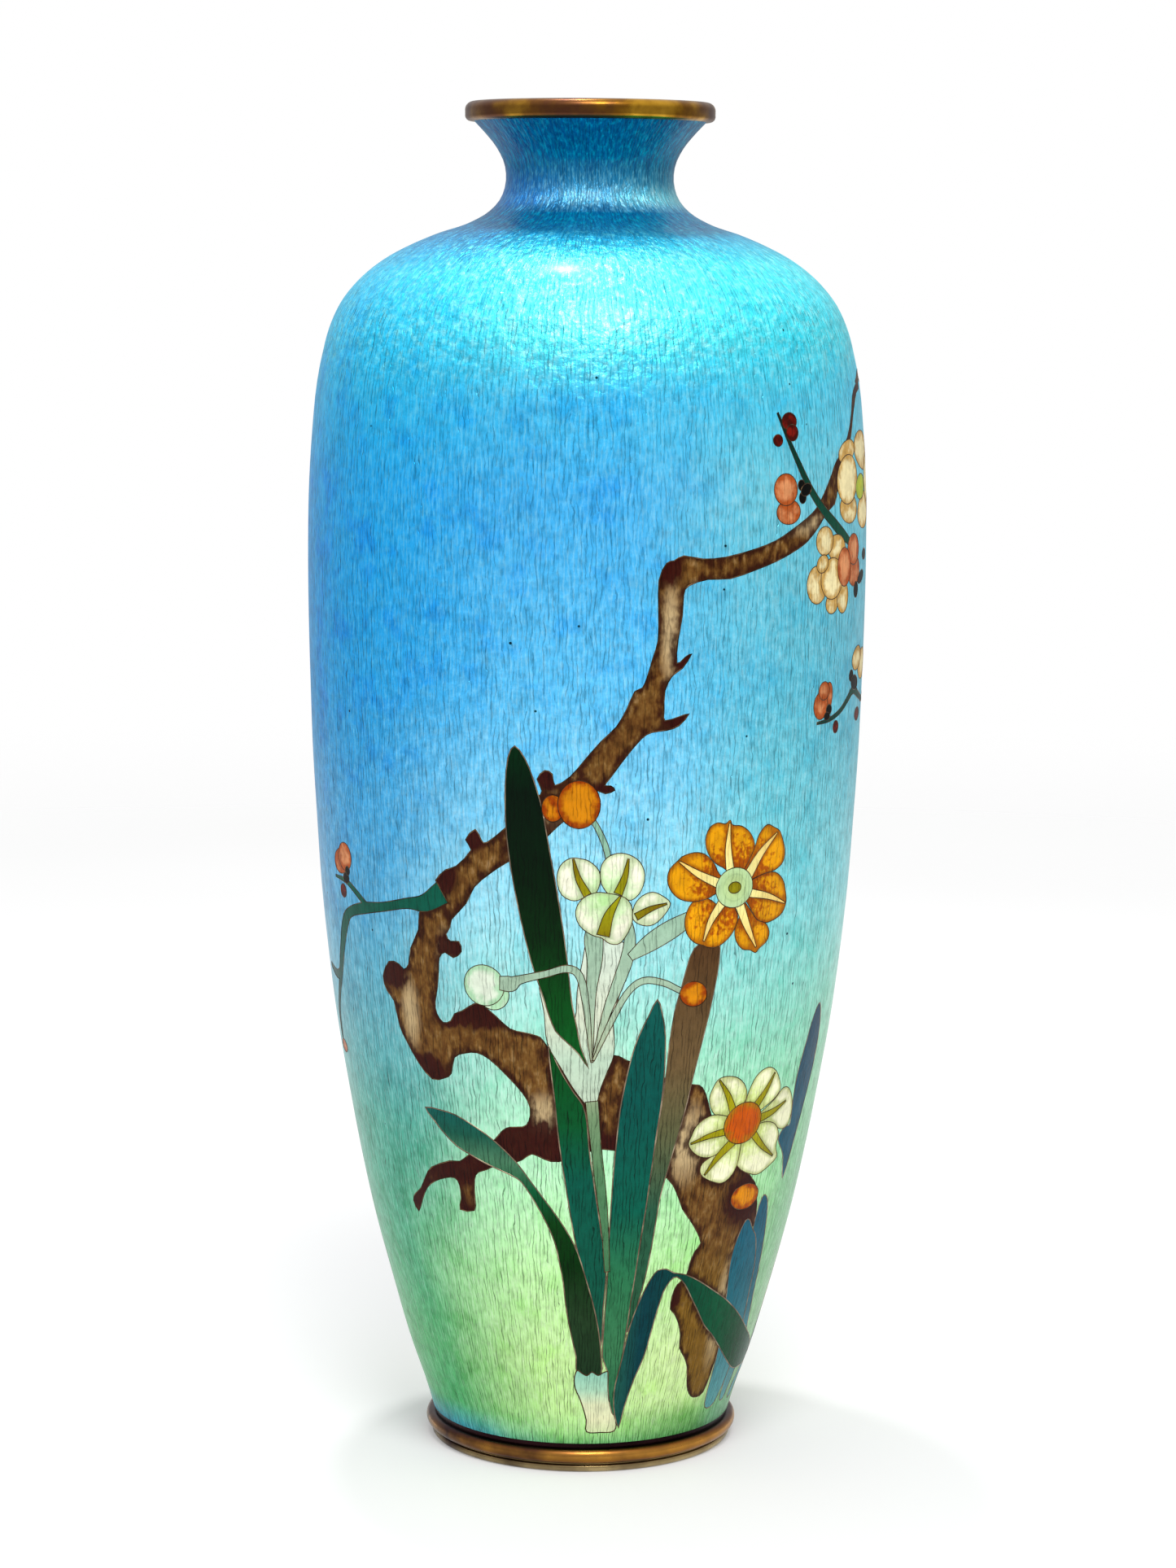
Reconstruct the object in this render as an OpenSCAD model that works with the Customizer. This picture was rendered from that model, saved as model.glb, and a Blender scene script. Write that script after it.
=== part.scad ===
// Cloisonne vase: a spun copper body wrapped in embossed silver foil,
// enamelled in cells between silver wires, with a brass mount at the mouth
// and another under the foot. Millimetres, +Z up, the foot rests on z = 0
// and the painted front faces -Y.

/* [Body] */
// Height over both mounts
height = 240; // [200:1:280]
// Diameter of the belly, over the enamel
belly_d = 99.2; // [90:0.2:112]

/* [Wall] */
// Thickness of the outer enamel, foil to surface
enamel_t = 0.9; // [0.6:0.1:1.2]
// Thickness of the silver foil
foil_t = 0.1; // [0.1:0.05:0.2]
// Thickness of the spun copper
copper_t = 1.0; // [0.8:0.1:1.2]
// Thickness of the counter enamel
counter_t = 0.6; // [0.4:0.1:0.8]

/* [Wires] */
// Thickness of a silver wire
wire_t = 0.3; // [0.2:0.05:0.4]
// Gap between a wire and its enamel
wire_gap = 0.01; // [0.01:0.01:0.03]

/* [Mounts] */
// How far the mouth mount stands out past the enamel
mouth_lip = 1.6; // [1.2:0.1:2]
// How far the mouth mount stands in past the counter enamel
mouth_lip_in = 0.4; // [0.2:0.1:0.6]
// Corner radius of the mouth mount
rim_round = 1.4; // [0.8:0.1:1.5]
// How far the foot mount stands out past the enamel
foot_lip = 1.2; // [0.8:0.1:1.6]
// Width of the foot mount inside the copper
foot_land = 1.6; // [1.2:0.1:2.5]
// How far the foot mount's lower edge is set back from its bead
foot_step = 1.3; // [1:0.1:1.6]
// Corner radius of the foot mount's lower edge
foot_round = 0.5; // [0.3:0.1:0.8]

/* [Hidden] */

// The outlines below are drawn on a vase of these sizes, then scaled.
drawn_height = 240;
drawn_belly_r = 49.6;
up = height / drawn_height;
out = belly_d / 2 / drawn_belly_r;

// Height and radius along the enamel surface, from foot mount to mouth mount
PROFILE = [
  [5.2, 27.0], [9, 28.1], [18, 31.2], [30, 34.6], [42, 37.8], [54, 40.4],
  [66, 42.6], [78, 44.6], [90, 46.1], [102, 47.3], [114, 48.1], [126, 48.8],
  [138, 49.2], [150, 49.5], [161, 49.6], [173, 49.4], [184, 48.7], [190, 48.1],
  [196, 47.0], [201, 45.6], [205, 43.7], [208, 41.4], [210.5, 38.8],
  [213, 35.3], [215, 31.5], [217, 26.8], [219, 21.0], [221, 17.6], [223, 15.8],
  [226, 14.8], [229, 15.0], [232, 16.4], [234.5, 18.4], [236.6, 20.4]
];
// Height above which the enamel carries no motif
plain_from = 201;
// Angle covered by one sector of the motif
sector = 40;
SECTORS = [for (i = [0:360 / sector - 1]) -160 + i * sector];
// A cutting depth that passes through the wall from the axis
reach = belly_d;

// Faces of a full turn, true curves at any count above 12
round_fn = 96;
// Slivers thinner than twice this are dropped
sliver = 0.04;
// Last profile point that the motif can reach
motif_last = len([for (p = PROFILE) if (p[0] <= plain_from) p]) - 1;

// Outlines, each point an angle in degrees from the front and a height.
// Right of the front is positive.

// Plum branch, from the right edge over the front to its cut ends
UPPER_LIMB = [
  [80, 192], [75, 191], [72, 189.5], [70, 186.5], [68, 184], [65, 181.5],
  [60, 178.5], [58, 176.5], [55, 173.5], [52, 171], [49, 169.5], [44, 167.5],
  [40, 166], [35, 164.8], [28, 163.6], [23, 163.4], [19, 164], [17, 163.2],
  [15.5, 162.8], [14, 160], [14, 155], [14, 150], [13, 147], [12, 144],
  [11, 142], [9.5, 141.4], [8, 138.5], [6, 135.5], [3, 133], [0, 130],
  [-3, 127], [-6, 125.5], [-6.5, 127.4], [-8, 128], [-9.5, 126.5],
  [-8.5, 124.5], [-10, 123], [-16, 118], [-20, 115.3], [-21.2, 115.6],
  [-22.5, 117.4], [-24.7, 115.5], [-23.5, 113.8], [-27, 110.8], [-29.5, 110],
  [-32, 108], [-31, 106.8], [-33, 104.5], [-36.5, 102], [-33, 96], [-30, 99.5],
  [-28.5, 101.5], [-25, 104.5], [-23, 107.5], [-19.5, 110], [-16, 112],
  [-10, 115], [-5.5, 118.5], [-3, 120.5], [1, 124], [2.5, 124.7], [4, 124.2],
  [5.8, 124.8], [5, 125.5], [3.8, 125.6], [5, 127], [8, 130.5], [11, 133.5],
  [13, 134.5], [16, 134.8], [18.5, 135.5], [20.5, 137.4], [18.5, 137],
  [15.6, 136.4], [15.4, 138], [15.5, 141.5], [17, 144], [19, 145.2],
  [20.8, 147.5], [19.5, 147], [17.8, 146], [18, 150], [18.8, 154],
  [19, 157.5], [20, 159], [24, 160], [29, 160], [35, 161.3], [40, 162.5],
  [45, 164], [49, 165.5], [53, 168], [56, 170.3], [59, 171.5], [60.5, 174],
  [62, 177], [66, 180], [69, 183], [71, 186], [73, 188], [76, 190], [80, 190.6]
];
// Heavy bend of the branch on the left, with the arm that leaves it
CROOK = [
  [-33, 104.5], [-36.5, 102], [-37, 99], [-39.5, 95.5], [-40.5, 92.5],
  [-42, 91.5], [-43.5, 92.3], [-46.5, 92.4], [-49, 89.5], [-48, 87],
  [-46, 85.5], [-44.8, 81], [-43, 78.5], [-40, 75], [-36.5, 72.5], [-33, 73],
  [-31, 74], [-29.8, 77], [-27, 78], [-24, 78.3], [-21, 77.3], [-17, 74.5],
  [-13.5, 71.5], [-12, 69], [-12.5, 66.5], [-14, 65.5], [-17, 65.3],
  [-19, 64.5], [-22, 62], [-25, 60.5], [-26, 57], [-23, 57.8], [-18, 58.5],
  [-14.5, 59.5], [-12, 60.7], [-9, 59.8], [-5.5, 59.5], [2, 61.5],
  [7.5, 61.6], [16, 59], [16, 74], [9.5, 77.8], [6.7, 78.7], [6, 77],
  [3.5, 74], [-4, 76], [-8.5, 81], [-10, 82], [-13, 82.5], [-16, 83],
  [-19, 85], [-22, 86.8], [-24, 87], [-27, 85.5], [-29, 84.8], [-30, 83.5],
  [-32, 83], [-33.6, 84.5], [-33.8, 86.5], [-33, 89], [-32.4, 92],
  [-32, 94.5], [-30.5, 95.6], [-28.5, 94.8], [-26.5, 96], [-27, 97.7],
  [-29, 97.6], [-30, 98.8], [-28.5, 101.5]
];
// Forked twig low on the left
LOW_TWIG = [
  [-22, 60.5], [-25, 60.8], [-28.5, 59.3], [-31, 58], [-34, 57.8], [-40, 56],
  [-42.5, 54], [-45, 51.5], [-47.5, 50.2], [-48.8, 48.8], [-47.3, 47],
  [-45, 49.5], [-42.5, 52], [-39.5, 53.5], [-36, 54.5], [-33, 54.8],
  [-31.8, 53.5], [-31.8, 51], [-32.5, 49], [-28.3, 49.2], [-27.8, 51.5],
  [-27.3, 55], [-26, 56.5], [-22, 57.8]
];
// Trunk from behind the leaves down to its cut foot
TRUNK = [
  [14, 74], [25, 72.8], [28, 72], [30, 69], [34, 62], [40, 58], [44, 55.5],
  [49, 52.5], [51, 49.5], [52, 47], [52, 44], [47, 43], [45.5, 40],
  [46, 34], [48, 29], [49.2, 22], [49, 16], [48, 12.6], [45, 12],
  [42, 12.5], [39.5, 14], [38, 16], [36.5, 19], [34.5, 21], [32, 23],
  [31.5, 25.5], [30, 28], [28, 30], [26.5, 31], [26.5, 33.5], [27.5, 35.5],
  [30, 37], [30.5, 39.5], [31.5, 41.5], [33, 43], [31, 45.5], [28.5, 47.8],
  [26, 50], [24, 53], [21, 56], [14, 59]
];
// Branch carried on round the back to its tip
BACK_LIMB = [
  [77, 191.3, 1.4], [84, 193, 1.7], [92, 191.5, 2.2], [99, 187, 2.8],
  [106, 182, 3.2], [113, 180.5, 2.8], [121, 183, 2.4], [129, 187, 2.0],
  [138, 188, 1.6], [147, 184.5, 1.2], [155, 179, 0.7], [160, 174, 0.4]
];
BACK_FORK = [
  [104, 183.5, 2.4], [108, 177, 2.2], [110, 170, 1.9], [116, 164, 1.6],
  [125, 161, 1.3], [134, 155, 1.0], [140, 147, 0.5]
];

// Green twigs: left, upper right, lower right, and two behind
LEFT_TWIG = [
  [-30.5, 106, 4], [-35, 103.8, 3.0], [-40, 103.3, 1.8], [-47, 102, 1.6],
  [-54, 101, 2.0], [-60, 99.6, 1.8], [-63, 97.5, 2.4], [-66, 93, 2.0],
  [-69, 88, 1.7], [-72.5, 83.5, 1.2], [-75.5, 79.5, 1.0], [-77, 74.5, 0.7]
];
LEFT_SIDE_TWIG = [[-53, 101.6, 1.2], [-57, 103.6, 1.0], [-61, 105, 0.9], [-66.5, 105.3, 0.4]];
LEFT_STUB = [[-69.5, 87.5, 1.6], [-73, 86.8, 1.6], [-79, 87.8, 0.8]];
UPPER_TWIG = [
  [41.2, 187.4, 0.4], [43.5, 183.5, 0.7], [46.5, 179, 1.1], [50, 174.5, 1.4],
  [54, 171, 1.6], [59, 168, 1.9], [63, 166, 1.8], [67, 164.3, 1.2]
];
LOWER_TWIG = [
  [54, 133.9, 0.4], [59, 134.2, 0.7], [64, 135.3, 0.9], [68, 137, 1.1],
  [72, 138.4, 1.6], [77, 137, 1.2], [84, 135.8, 1.1], [92, 137.5, 0.8],
  [98, 141, 0.4]
];
BACK_TWIG = [[121, 183, 1.4], [127, 177, 1.2], [136, 172, 1.0], [145, 165, 0.5]];
BACK_LOW_TWIG = [[112, 167.5, 1.2], [106, 160, 1.1], [104, 152, 0.9], [98, 146, 0.4]];

// Narcissus leaves
TALL_LEAF = [
  [-14, 132], [-15.4, 130], [-16, 125], [-16, 119], [-15.5, 114],
  [-14.5, 108.5], [-13, 102], [-11, 95], [-9, 90], [-7.5, 86], [-6, 83],
  [-3.5, 81], [-1, 79], [1.2, 76.5], [-0.5, 80], [-1.5, 84], [-2.5, 88],
  [-3.3, 94], [-4.2, 100], [-5.5, 107], [-6.8, 113], [-8, 119], [-9, 123],
  [-10.5, 127], [-12, 130]
];
LOWER_BLADE = [
  [-7.6, 80.6], [-7, 75], [-6.3, 70], [-5.8, 65], [-5, 60], [-4, 55],
  [-3, 50], [-1.5, 44], [1, 37], [3, 30], [5, 23], [6.2, 26], [6.2, 32],
  [6.6, 38], [6, 42], [5, 46], [3.6, 52], [2.5, 57], [1.5, 62], [1, 66.5],
  [0, 69.8], [-2, 72], [-4.2, 74.8], [-6, 77.6]
];
CENTRE_LEAF = [
  [15.8, 88.4], [14, 85.5], [12, 82], [10.5, 78], [9.3, 73], [8.5, 69],
  [8, 64], [7.5, 58], [7.2, 52], [7, 46], [7, 40], [6.8, 34], [6.6, 28],
  [6.6, 22.5], [8.6, 19.5], [8.9, 16.5], [10, 13], [12, 10.6], [12.4, 16],
  [12.8, 22], [13.5, 28], [14, 33], [14.6, 38], [15.3, 45], [16, 50],
  [16.5, 55], [17, 60], [17.5, 65], [18.1, 70], [18.3, 76], [18, 82],
  [17, 86]
];
BROWN_LEAF = [
  [27.5, 99], [23.5, 97], [22, 93.5], [21, 90], [19.8, 86], [19, 80],
  [18.8, 76], [18, 68], [17, 60], [16, 50], [15, 42], [14, 34], [13.2, 27],
  [14.8, 29], [16, 32], [17, 35.5], [18, 40], [18.8, 46], [19.5, 52],
  [20.5, 56], [22, 61], [23.5, 66], [24.5, 70], [25.3, 74], [26.5, 79],
  [28, 85], [29, 90], [29.6, 94], [29.4, 98]
];
CURVED_LEAF = [
  [-39.6, 67], [-37.5, 65], [-35, 63], [-31.5, 60.8], [-28, 59.6],
  [-24, 58.3], [-20, 57.2], [-16, 56], [-14, 54.5], [-11.5, 51.5], [-9, 48],
  [-7, 44.5], [-6, 41], [-5, 37], [-4.5, 33], [-3.6, 29], [-2.5, 25.5],
  [-1.5, 22.5], [-0.8, 18.5], [6, 18.5], [6.2, 22.5], [5, 28], [3, 33.5],
  [1, 38], [-1, 42.5], [-3, 45.5], [-6, 49], [-10, 53], [-13, 56],
  [-16, 59], [-20, 61.8], [-23, 63.5], [-27, 65.2], [-31, 66.5], [-35, 67]
];
FOLDED_LEAF = [
  [13.9, 8.2], [12, 11], [11.2, 14], [11.3, 17], [12.5, 21], [13.5, 25],
  [14.5, 28.5], [16, 32], [18, 35.5], [19.5, 37.5], [21, 38.7], [23.5, 38.8],
  [26, 37.9], [30, 37.2], [35, 35.5], [40, 33.5], [46, 31.2], [50, 29.5],
  [55, 27.3], [60, 25], [66, 22.4], [72, 20.3], [78, 18], [84, 14.5],
  [78, 14.4], [72, 14.6], [66, 15], [62, 15.8], [58, 17.2], [53, 19.5],
  [48, 22.2], [44, 24.5], [40, 26.6], [36, 30], [33, 32.6], [30, 35.4],
  [27, 37.1], [25, 36.3], [23.5, 34.5], [22.5, 31.5], [21.5, 28],
  [20.5, 24], [19, 20.5], [17.5, 18], [16, 14.5], [15, 11.5]
];
BLUE_UPPER = [
  [67, 83], [65, 82], [63, 79], [61, 74], [60, 70], [60.2, 66], [60.8, 62],
  [59, 61.6], [57, 61], [56, 59.5], [58.5, 57.5], [60.5, 55.5], [62.6, 51.5],
  [64, 54], [66, 60], [68, 66], [69.5, 72], [69.6, 77], [68.6, 81]
];
BLUE_LOWER = [
  [47.5, 45], [49.5, 45.6], [52, 43.5], [54.2, 42], [56, 39.5], [58, 35.5],
  [59, 31], [60.5, 25], [61, 18], [60, 12], [57, 9], [52, 9.2], [50.3, 13],
  [49.6, 19], [48.5, 26], [46.8, 32], [45.4, 37], [45.5, 41]
];
BLUE_PALE = [
  [54, 49.5], [52.4, 46.5], [52.6, 42], [56, 34], [58, 25], [60, 15],
  [62, 9.5], [66, 10], [67, 16], [65.5, 22], [63, 29], [61, 36], [58.8, 43],
  [56.8, 48]
];
BACK_LEAF = [
  [92, 60], [89.5, 55], [88, 48], [86, 38], [82, 28], [76, 18], [70, 9.4],
  [76, 9.4], [82, 16], [88, 26], [92, 38], [93.5, 48], [93.5, 55]
];
SHEATH = [
  [-1.2, 19.9], [0.5, 19.3], [2, 18.9], [3.5, 19.6], [5.5, 18.9], [7, 19.4],
  [9, 19.2], [9.5, 14], [12.6, 9.8], [12.4, 7.6], [7.5, 7.4], [2.2, 7.6],
  [2, 10], [0, 13.8], [-1.8, 16.3], [-2.1, 18.3]
];
SPATHE = [
  [-9.2, 91.5], [-8.4, 86], [-7.8, 80.8], [-5, 76.6], [-2, 72.6],
  [0.6, 70], [1.7, 69.6], [3, 70], [4, 73], [5.4, 76], [6.6, 78.6], [6.7, 82],
  [6.4, 86], [8.2, 91], [9.6, 96], [8.6, 98.4], [5.6, 99], [3, 99.4],
  [0.6, 98.8], [-0.4, 95], [-1.4, 90], [-1.8, 85.5], [-4, 88]
];

// Flower stems, each a route with its width
STEMS = [
  [[2, 70.5, 2.2], [3.2, 62, 1.8], [4.6, 54, 1.7], [6, 46, 1.2], [6.8, 39, 0.9]],
  [[2.8, 102.5, 2.4], [2, 99.4, 3.2], [2.2, 95.5, 2.6], [1.6, 90, 1.7], [1.6, 84, 1.1],
   [1.9, 77.5, 0.4]],
  [[8.4, 103, 1.4], [9.4, 100, 1.8], [9, 96, 2.2], [7, 91, 2.0], [4.8, 86, 1.4],
   [2.1, 77.8, 0.4]],
  [[24.5, 102.8, 2.6], [21.5, 102, 2.8], [17.5, 100.3, 3.4], [13.5, 98.3, 3.0],
   [9.6, 96, 1.4]],
  [[23, 89.4, 1.0], [20.8, 89.8, 1.0], [17, 91.3, 1.1], [12.5, 91.8, 1.2],
   [9, 89.5, 1.1], [5.5, 84, 1.0], [2.2, 77.9, 0.4]],
  [[0.6, 120.6, 0.9], [2.3, 118.6, 0.9], [4, 115.5, 1.0], [4.8, 113, 1.0]]
];
WHITE_BUD_STEM = [
  [-18, 91, 2.4], [-15.5, 91, 2.7], [-13.5, 91.8, 1.5], [-8, 93, 1.2],
  [-3.5, 94, 1.3], [-0.8, 92.6, 1.3], [0.6, 87, 1.1], [1.8, 77.8, 0.4]
];

// Orange narcissus: petals round a cup, each split by a ray
ORANGE_PETALS = [
  [[30.2, 110.2], [27.5, 111.6], [25.6, 113.6], [25, 115.8], [25.8, 117.8],
   [27.6, 118.6], [29.4, 118.3], [30.5, 118.9], [31.2, 118], [33.4, 117.7],
   [35.6, 116.4], [36.9, 114.4], [36.6, 112.4], [34.8, 110.4]],
  [[34.8, 110.4], [36.8, 113.4], [38, 116], [40, 117.5], [42, 116.9],
   [43.6, 116.2], [44.6, 114.8], [45.6, 112.6], [45.2, 110.6], [43, 109.4],
   [40, 109], [36.8, 108.3]],
  [[36.8, 108.2], [40, 109], [43, 109], [45.4, 107.6], [46.5, 105.6],
   [47, 103.4], [46, 101.6], [43.6, 100.6], [41, 100.3], [38.8, 101],
   [37, 102.8], [35.6, 104.4]],
  [[34.6, 103.8], [33.8, 101.6], [33, 99.6], [33.6, 97.6], [35.4, 96.1],
   [37.4, 95.8], [39, 95.2], [40, 95.9], [42, 97], [42.5, 98.6], [41.2, 100.2],
   [38.8, 101], [37, 102.6]],
  [[29, 104.4], [26, 105.6], [22.6, 105.1], [21.1, 102.4], [21.6, 99.8],
   [23.4, 98.1], [25.4, 97.5], [27, 97], [29.2, 97.1], [31.5, 98.3],
   [33, 100], [33.6, 102], [32.6, 103.8]],
  [[28.2, 106.4], [26, 105.6], [23, 105.2], [20, 105.7], [18, 107.1],
   [17, 109], [17.4, 111], [19.2, 112.5], [20.2, 113.2], [22.6, 113.7],
   [25, 113.3], [27.2, 111.6], [28.6, 109.6]]
];
ORANGE_CENTRE = [32.4, 107.1];
ORANGE_RAYS = [
  ray([31.2, 109.6], [30.5, 118.4], 1.7, 0.4), ray([35.6, 109], [43, 115.9], 1.9, 0.5),
  ray([36.4, 105.9], [46.6, 103.3], 1.5, 0.3), ray([33.6, 104.4], [39, 96.2], 1.9, -0.2),
  ray([29.6, 104.8], [25.6, 98.2], 1.7, -0.5), ray([28.6, 108], [19.4, 112.3], 1.7, 0.3)
];

// White spray above the spathe
WHITE_PETALS = [
  [[0.4, 106.6], [-2, 105.8], [-4.6, 106.8], [-5.6, 109.4], [-4.9, 111.8],
   [-3, 113.1], [-1, 113.1], [1, 112.6], [2.9, 111], [3.1, 108.8], [2, 106.8]],
  [[7, 106.5], [9.6, 105.9], [11.6, 107.6], [12.2, 110.2], [11.2, 112.4],
   [9, 113.7], [6.6, 114], [4.4, 113.2], [3.2, 111.4], [3.4, 108.8], [5, 106.9]],
  [[3.6, 99.4], [1.4, 100], [-1, 101.6], [-1.8, 104], [-0.4, 106.2],
   [2.4, 107.3], [5, 107.1], [6.8, 106.8], [8.8, 106], [9.9, 104], [9.6, 101.4],
   [7.6, 98.6], [5.4, 98.4]],
  [[10, 102.6], [10.2, 105], [11.8, 106.6], [14, 107.2], [16.2, 106.4],
   [17.8, 105.1], [16.6, 103.2], [14.4, 101.6], [12, 101.5]]
];
WHITE_RAYS = [
  ray([0.6, 106.8], [-2.3, 113], 1.4, 0.4), ray([6.8, 107], [8.8, 113], 1.5, -0.3),
  ray([3.9, 99.8], [7.3, 106.6], 2.2, 0.5), ray([10.6, 103], [17, 105.1], 1.3, 0.3)
];

// White narcissus low on the right
LOW_PETALS = [
  [[34, 66], [31.4, 67.4], [30.2, 69.8], [31, 72], [32.4, 73.3], [35, 73.5],
   [38, 72.8], [40.4, 71], [41, 68.8], [39, 66]],
  [[40.6, 67], [42, 71], [44, 73.1], [47, 73.9], [49.6, 73.2], [51.6, 71.6],
   [53, 69.3], [51, 67.6], [46, 66]],
  [[46, 65.5], [51.4, 67.6], [54, 69.2], [56.6, 69], [59, 67.2], [60.4, 64.6],
   [60, 62.3], [58, 61.4], [55.2, 61.7], [52.6, 62.9], [46, 63.4]],
  [[44, 61], [46, 63.4], [50, 63.6], [53.6, 62.6], [55.7, 60.6], [55.4, 58.4],
   [56.8, 56.2], [52.4, 54.6], [49, 54], [45, 54.8], [42, 56], [40.4, 57.6],
   [40.6, 60]],
  [[40.8, 62], [36, 60.2], [32.4, 59], [30.2, 58], [29.8, 56.6], [31, 55.4],
   [34, 54.3], [37, 53.8], [39.4, 54.7], [41, 56.6], [41.4, 60]],
  [[38, 65.6], [33, 66.7], [30, 66.4], [27.5, 65.1], [26.3, 63.2], [25.8, 61.9],
   [27, 60.5], [29.4, 59.3], [32.4, 59], [35.4, 59.9], [39, 62]]
];
LOW_CENTRE = [41.2, 64.4];
LOW_RAYS = [
  ray([37.6, 66.6], [32.4, 73], 1.5, -0.3), ray([44.4, 67], [49.8, 72.6], 1.6, -0.3),
  ray([46.2, 64.6], [56.4, 66.6], 1.6, -0.3), ray([44.6, 62.4], [54.6, 56.8], 1.5, -0.4),
  ray([39.2, 61.6], [31.2, 55.8], 1.8, -0.4), ray([36.6, 63.4], [26.4, 61.9], 1.4, -0.3)
];

// Plum blossom, each petal [centre, half-widths, tilt]
BLOSSOM_PETALS = [
  [[66, 180.2], [4, 1.9], 12], [[78, 180], [6.6, 3.4], -8],
  [[66.2, 170.4], [4.2, 2.6], -5], [[78, 169.6], [5.6, 3.2], 5],
  [[84, 174.8], [4.6, 4.2], 0], [[66, 175.4], [5, 4.2], 15],
  [[58.3, 154.4], [2.2, 1.8], 0], [[63.2, 155.2], [2.4, 2.8], 0],
  [[60.2, 163.8], [3.4, 2.4], -8], [[55.2, 165.3], [2.8, 2.5], 0],
  [[52.5, 157.9], [3, 3.3], 10], [[58.3, 158.7], [3.9, 3.6], 0],
  [[54.4, 161.4], [1.9, 1.5], 20], [[80, 142.4], [4.4, 2.8], 0],
  [[74, 143.8], [3.4, 2.1], 8], [[98, 180], [3.4, 3], 0],
  [[103, 176.5], [3.2, 3], 0], [[100.6, 171], [3.2, 3], 0],
  [[94.4, 170.8], [3.2, 3], 0], [[92.4, 176.2], [3.2, 3], 0],
  [[131, 194.5], [3.2, 2.8], 20], [[136.4, 191.6], [3.2, 2.8], -30],
  [[127.4, 190.8], [2.8, 2.6], 0], [[144, 169], [3, 2.6], 10],
  [[149, 165.6], [3, 2.6], -20], [[144, 163.4], [2.6, 2.6], 0]
];
BLOSSOM_HEARTS = [[[74.6, 173.8], [3.4, 2.2], 8], [[97.8, 175], [2, 1.9], 0]];
PLUM_BUDS = [
  [[43.5, 170.7], [2.9, 2.1], 0], [[42.8, 174.5], [2.8, 2.7], 0],
  [[69.6, 159.4], [3.4, 2.7], 0], [[69, 163.2], [3.2, 2.7], -10],
  [[63.8, 160.4], [2.9, 3.4], 10], [[58, 138], [1.6, 2.8], -10],
  [[55.3, 136.9], [2.3, 2.4], 0], [[56.4, 139.4], [1.8, 1.6], 0],
  [[-63, 108.3], [2.9, 2.2], 10], [[-61, 109.3], [2.5, 2.5], 0],
  [[-76, 73.3], [2.2, 1.2], 0], [[141, 145.4], [2, 2.6], 20],
  [[97, 144.2], [2.2, 2.6], -20], [[161.4, 171.6], [2, 2.6], 20]
];
CALYXES = [
  [[47.3, 175.1], [0.9, 0.9], 0], [[47.6, 173], [0.9, 1], 0],
  [[48.8, 174.3], [1.5, 1], 20], [[58.6, 136], [1, 0.9], 0],
  [[57.9, 134.9], [1, 0.7], 0], [[-60.8, 105.6], [1.1, 1], 0],
  [[-60, 106.9], [0.8, 0.8], 0], [[69.8, 141], [1.2, 1], 0],
  [[72.6, 139.6], [2.4, 1.3], -10], [[71, 156], [1.3, 1.4], 0],
  [[75, 158], [2.4, 1], 15], [[78.4, 161.8], [1.9, 1], 0],
  [[139.6, 147.4], [0.9, 0.9], 0], [[98.4, 146.4], [0.9, 0.9], 0]
];
BERRIES = [
  [[41, 182.8], [1.1, 1], 0], [[44.4, 185.9], [1.8, 1.5], 0],
  [[45.1, 184], [1.5, 1.4], 0], [[62, 132.7], [1.1, 1.1], 0],
  [[76.4, 133.7], [2.2, 1.2], 0], [[-62.6, 103.1], [1.2, 1.2], 0],
  [[129, 172.6], [1.2, 1.2], 0], [[131.4, 170.4], [1.2, 1.2], 0]
];
ORANGE_BUDS = [
  [[-6.4, 121.6], [1.9, 2.3], 0], [[-1.2, 122.3], [3.6, 4.1], 0],
  [[24, 89], [2.6, 2.2], -15], [[46, 50.3], [3.6, 2.4], -5]
];
WHITE_BUD = [[[-19.6, 89], [2.9, 2.8], 0], [[-21.6, 90.4], [3.7, 3.6], 0]];

// --- Curves ----------------------------------------------------------------

function knot(p, i) = p[(i + len(p)) % len(p)];

function blend(a, b, c, d, t) =
  0.5 * (2 * b + (c - a) * t + (2 * a - 5 * b + 4 * c - d) * pow(t, 2)
    + (3 * b - a - 3 * c + d) * pow(t, 3));

// A closed outline with each stretch rounded in n steps
function smooth(p, n = 2) = [
  for (i = [0:len(p) - 1]) for (j = [0:n - 1])
    blend(knot(p, i - 1), knot(p, i), knot(p, i + 1), knot(p, i + 2), j / n)
];

// Millimetres along the surface for one degree, on the drawn vase
function mm_per_degree(z) = lookup(z, PROFILE) * PI / 180;

// An oval about c with half-widths r in millimetres, turned by tilt
function oval(c, r, tilt = 0, n = 14) = [
  for (i = [0:n - 1]) let (
    t = 360 * i / n,
    x = r[0] * cos(t) * cos(tilt) - r[1] * sin(t) * sin(tilt),
    y = r[0] * cos(t) * sin(tilt) + r[1] * sin(t) * cos(tilt)
  ) [c[0] + x / mm_per_degree(c[1]), c[1] + y]
];

// The point beside step i of a route [angle, height, width]
function beside(p, i, side) = let (
    a = p[max(i - 1, 0)],
    b = p[min(i + 1, len(p) - 1)],
    m = mm_per_degree(p[i][1]),
    dx = (b[0] - a[0]) * m,
    dy = b[1] - a[1],
    k = side * p[i][2] / 2 / norm([dx, dy])
  ) [p[i][0] - dy * k / m, p[i][1] + dx * k];

// A strip that follows a route and takes its width from it
function strip(p) = concat(
  [for (i = [0:len(p) - 1]) beside(p, i, 1)],
  [for (i = [len(p) - 1:-1:0]) beside(p, i, -1)]
);

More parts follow.
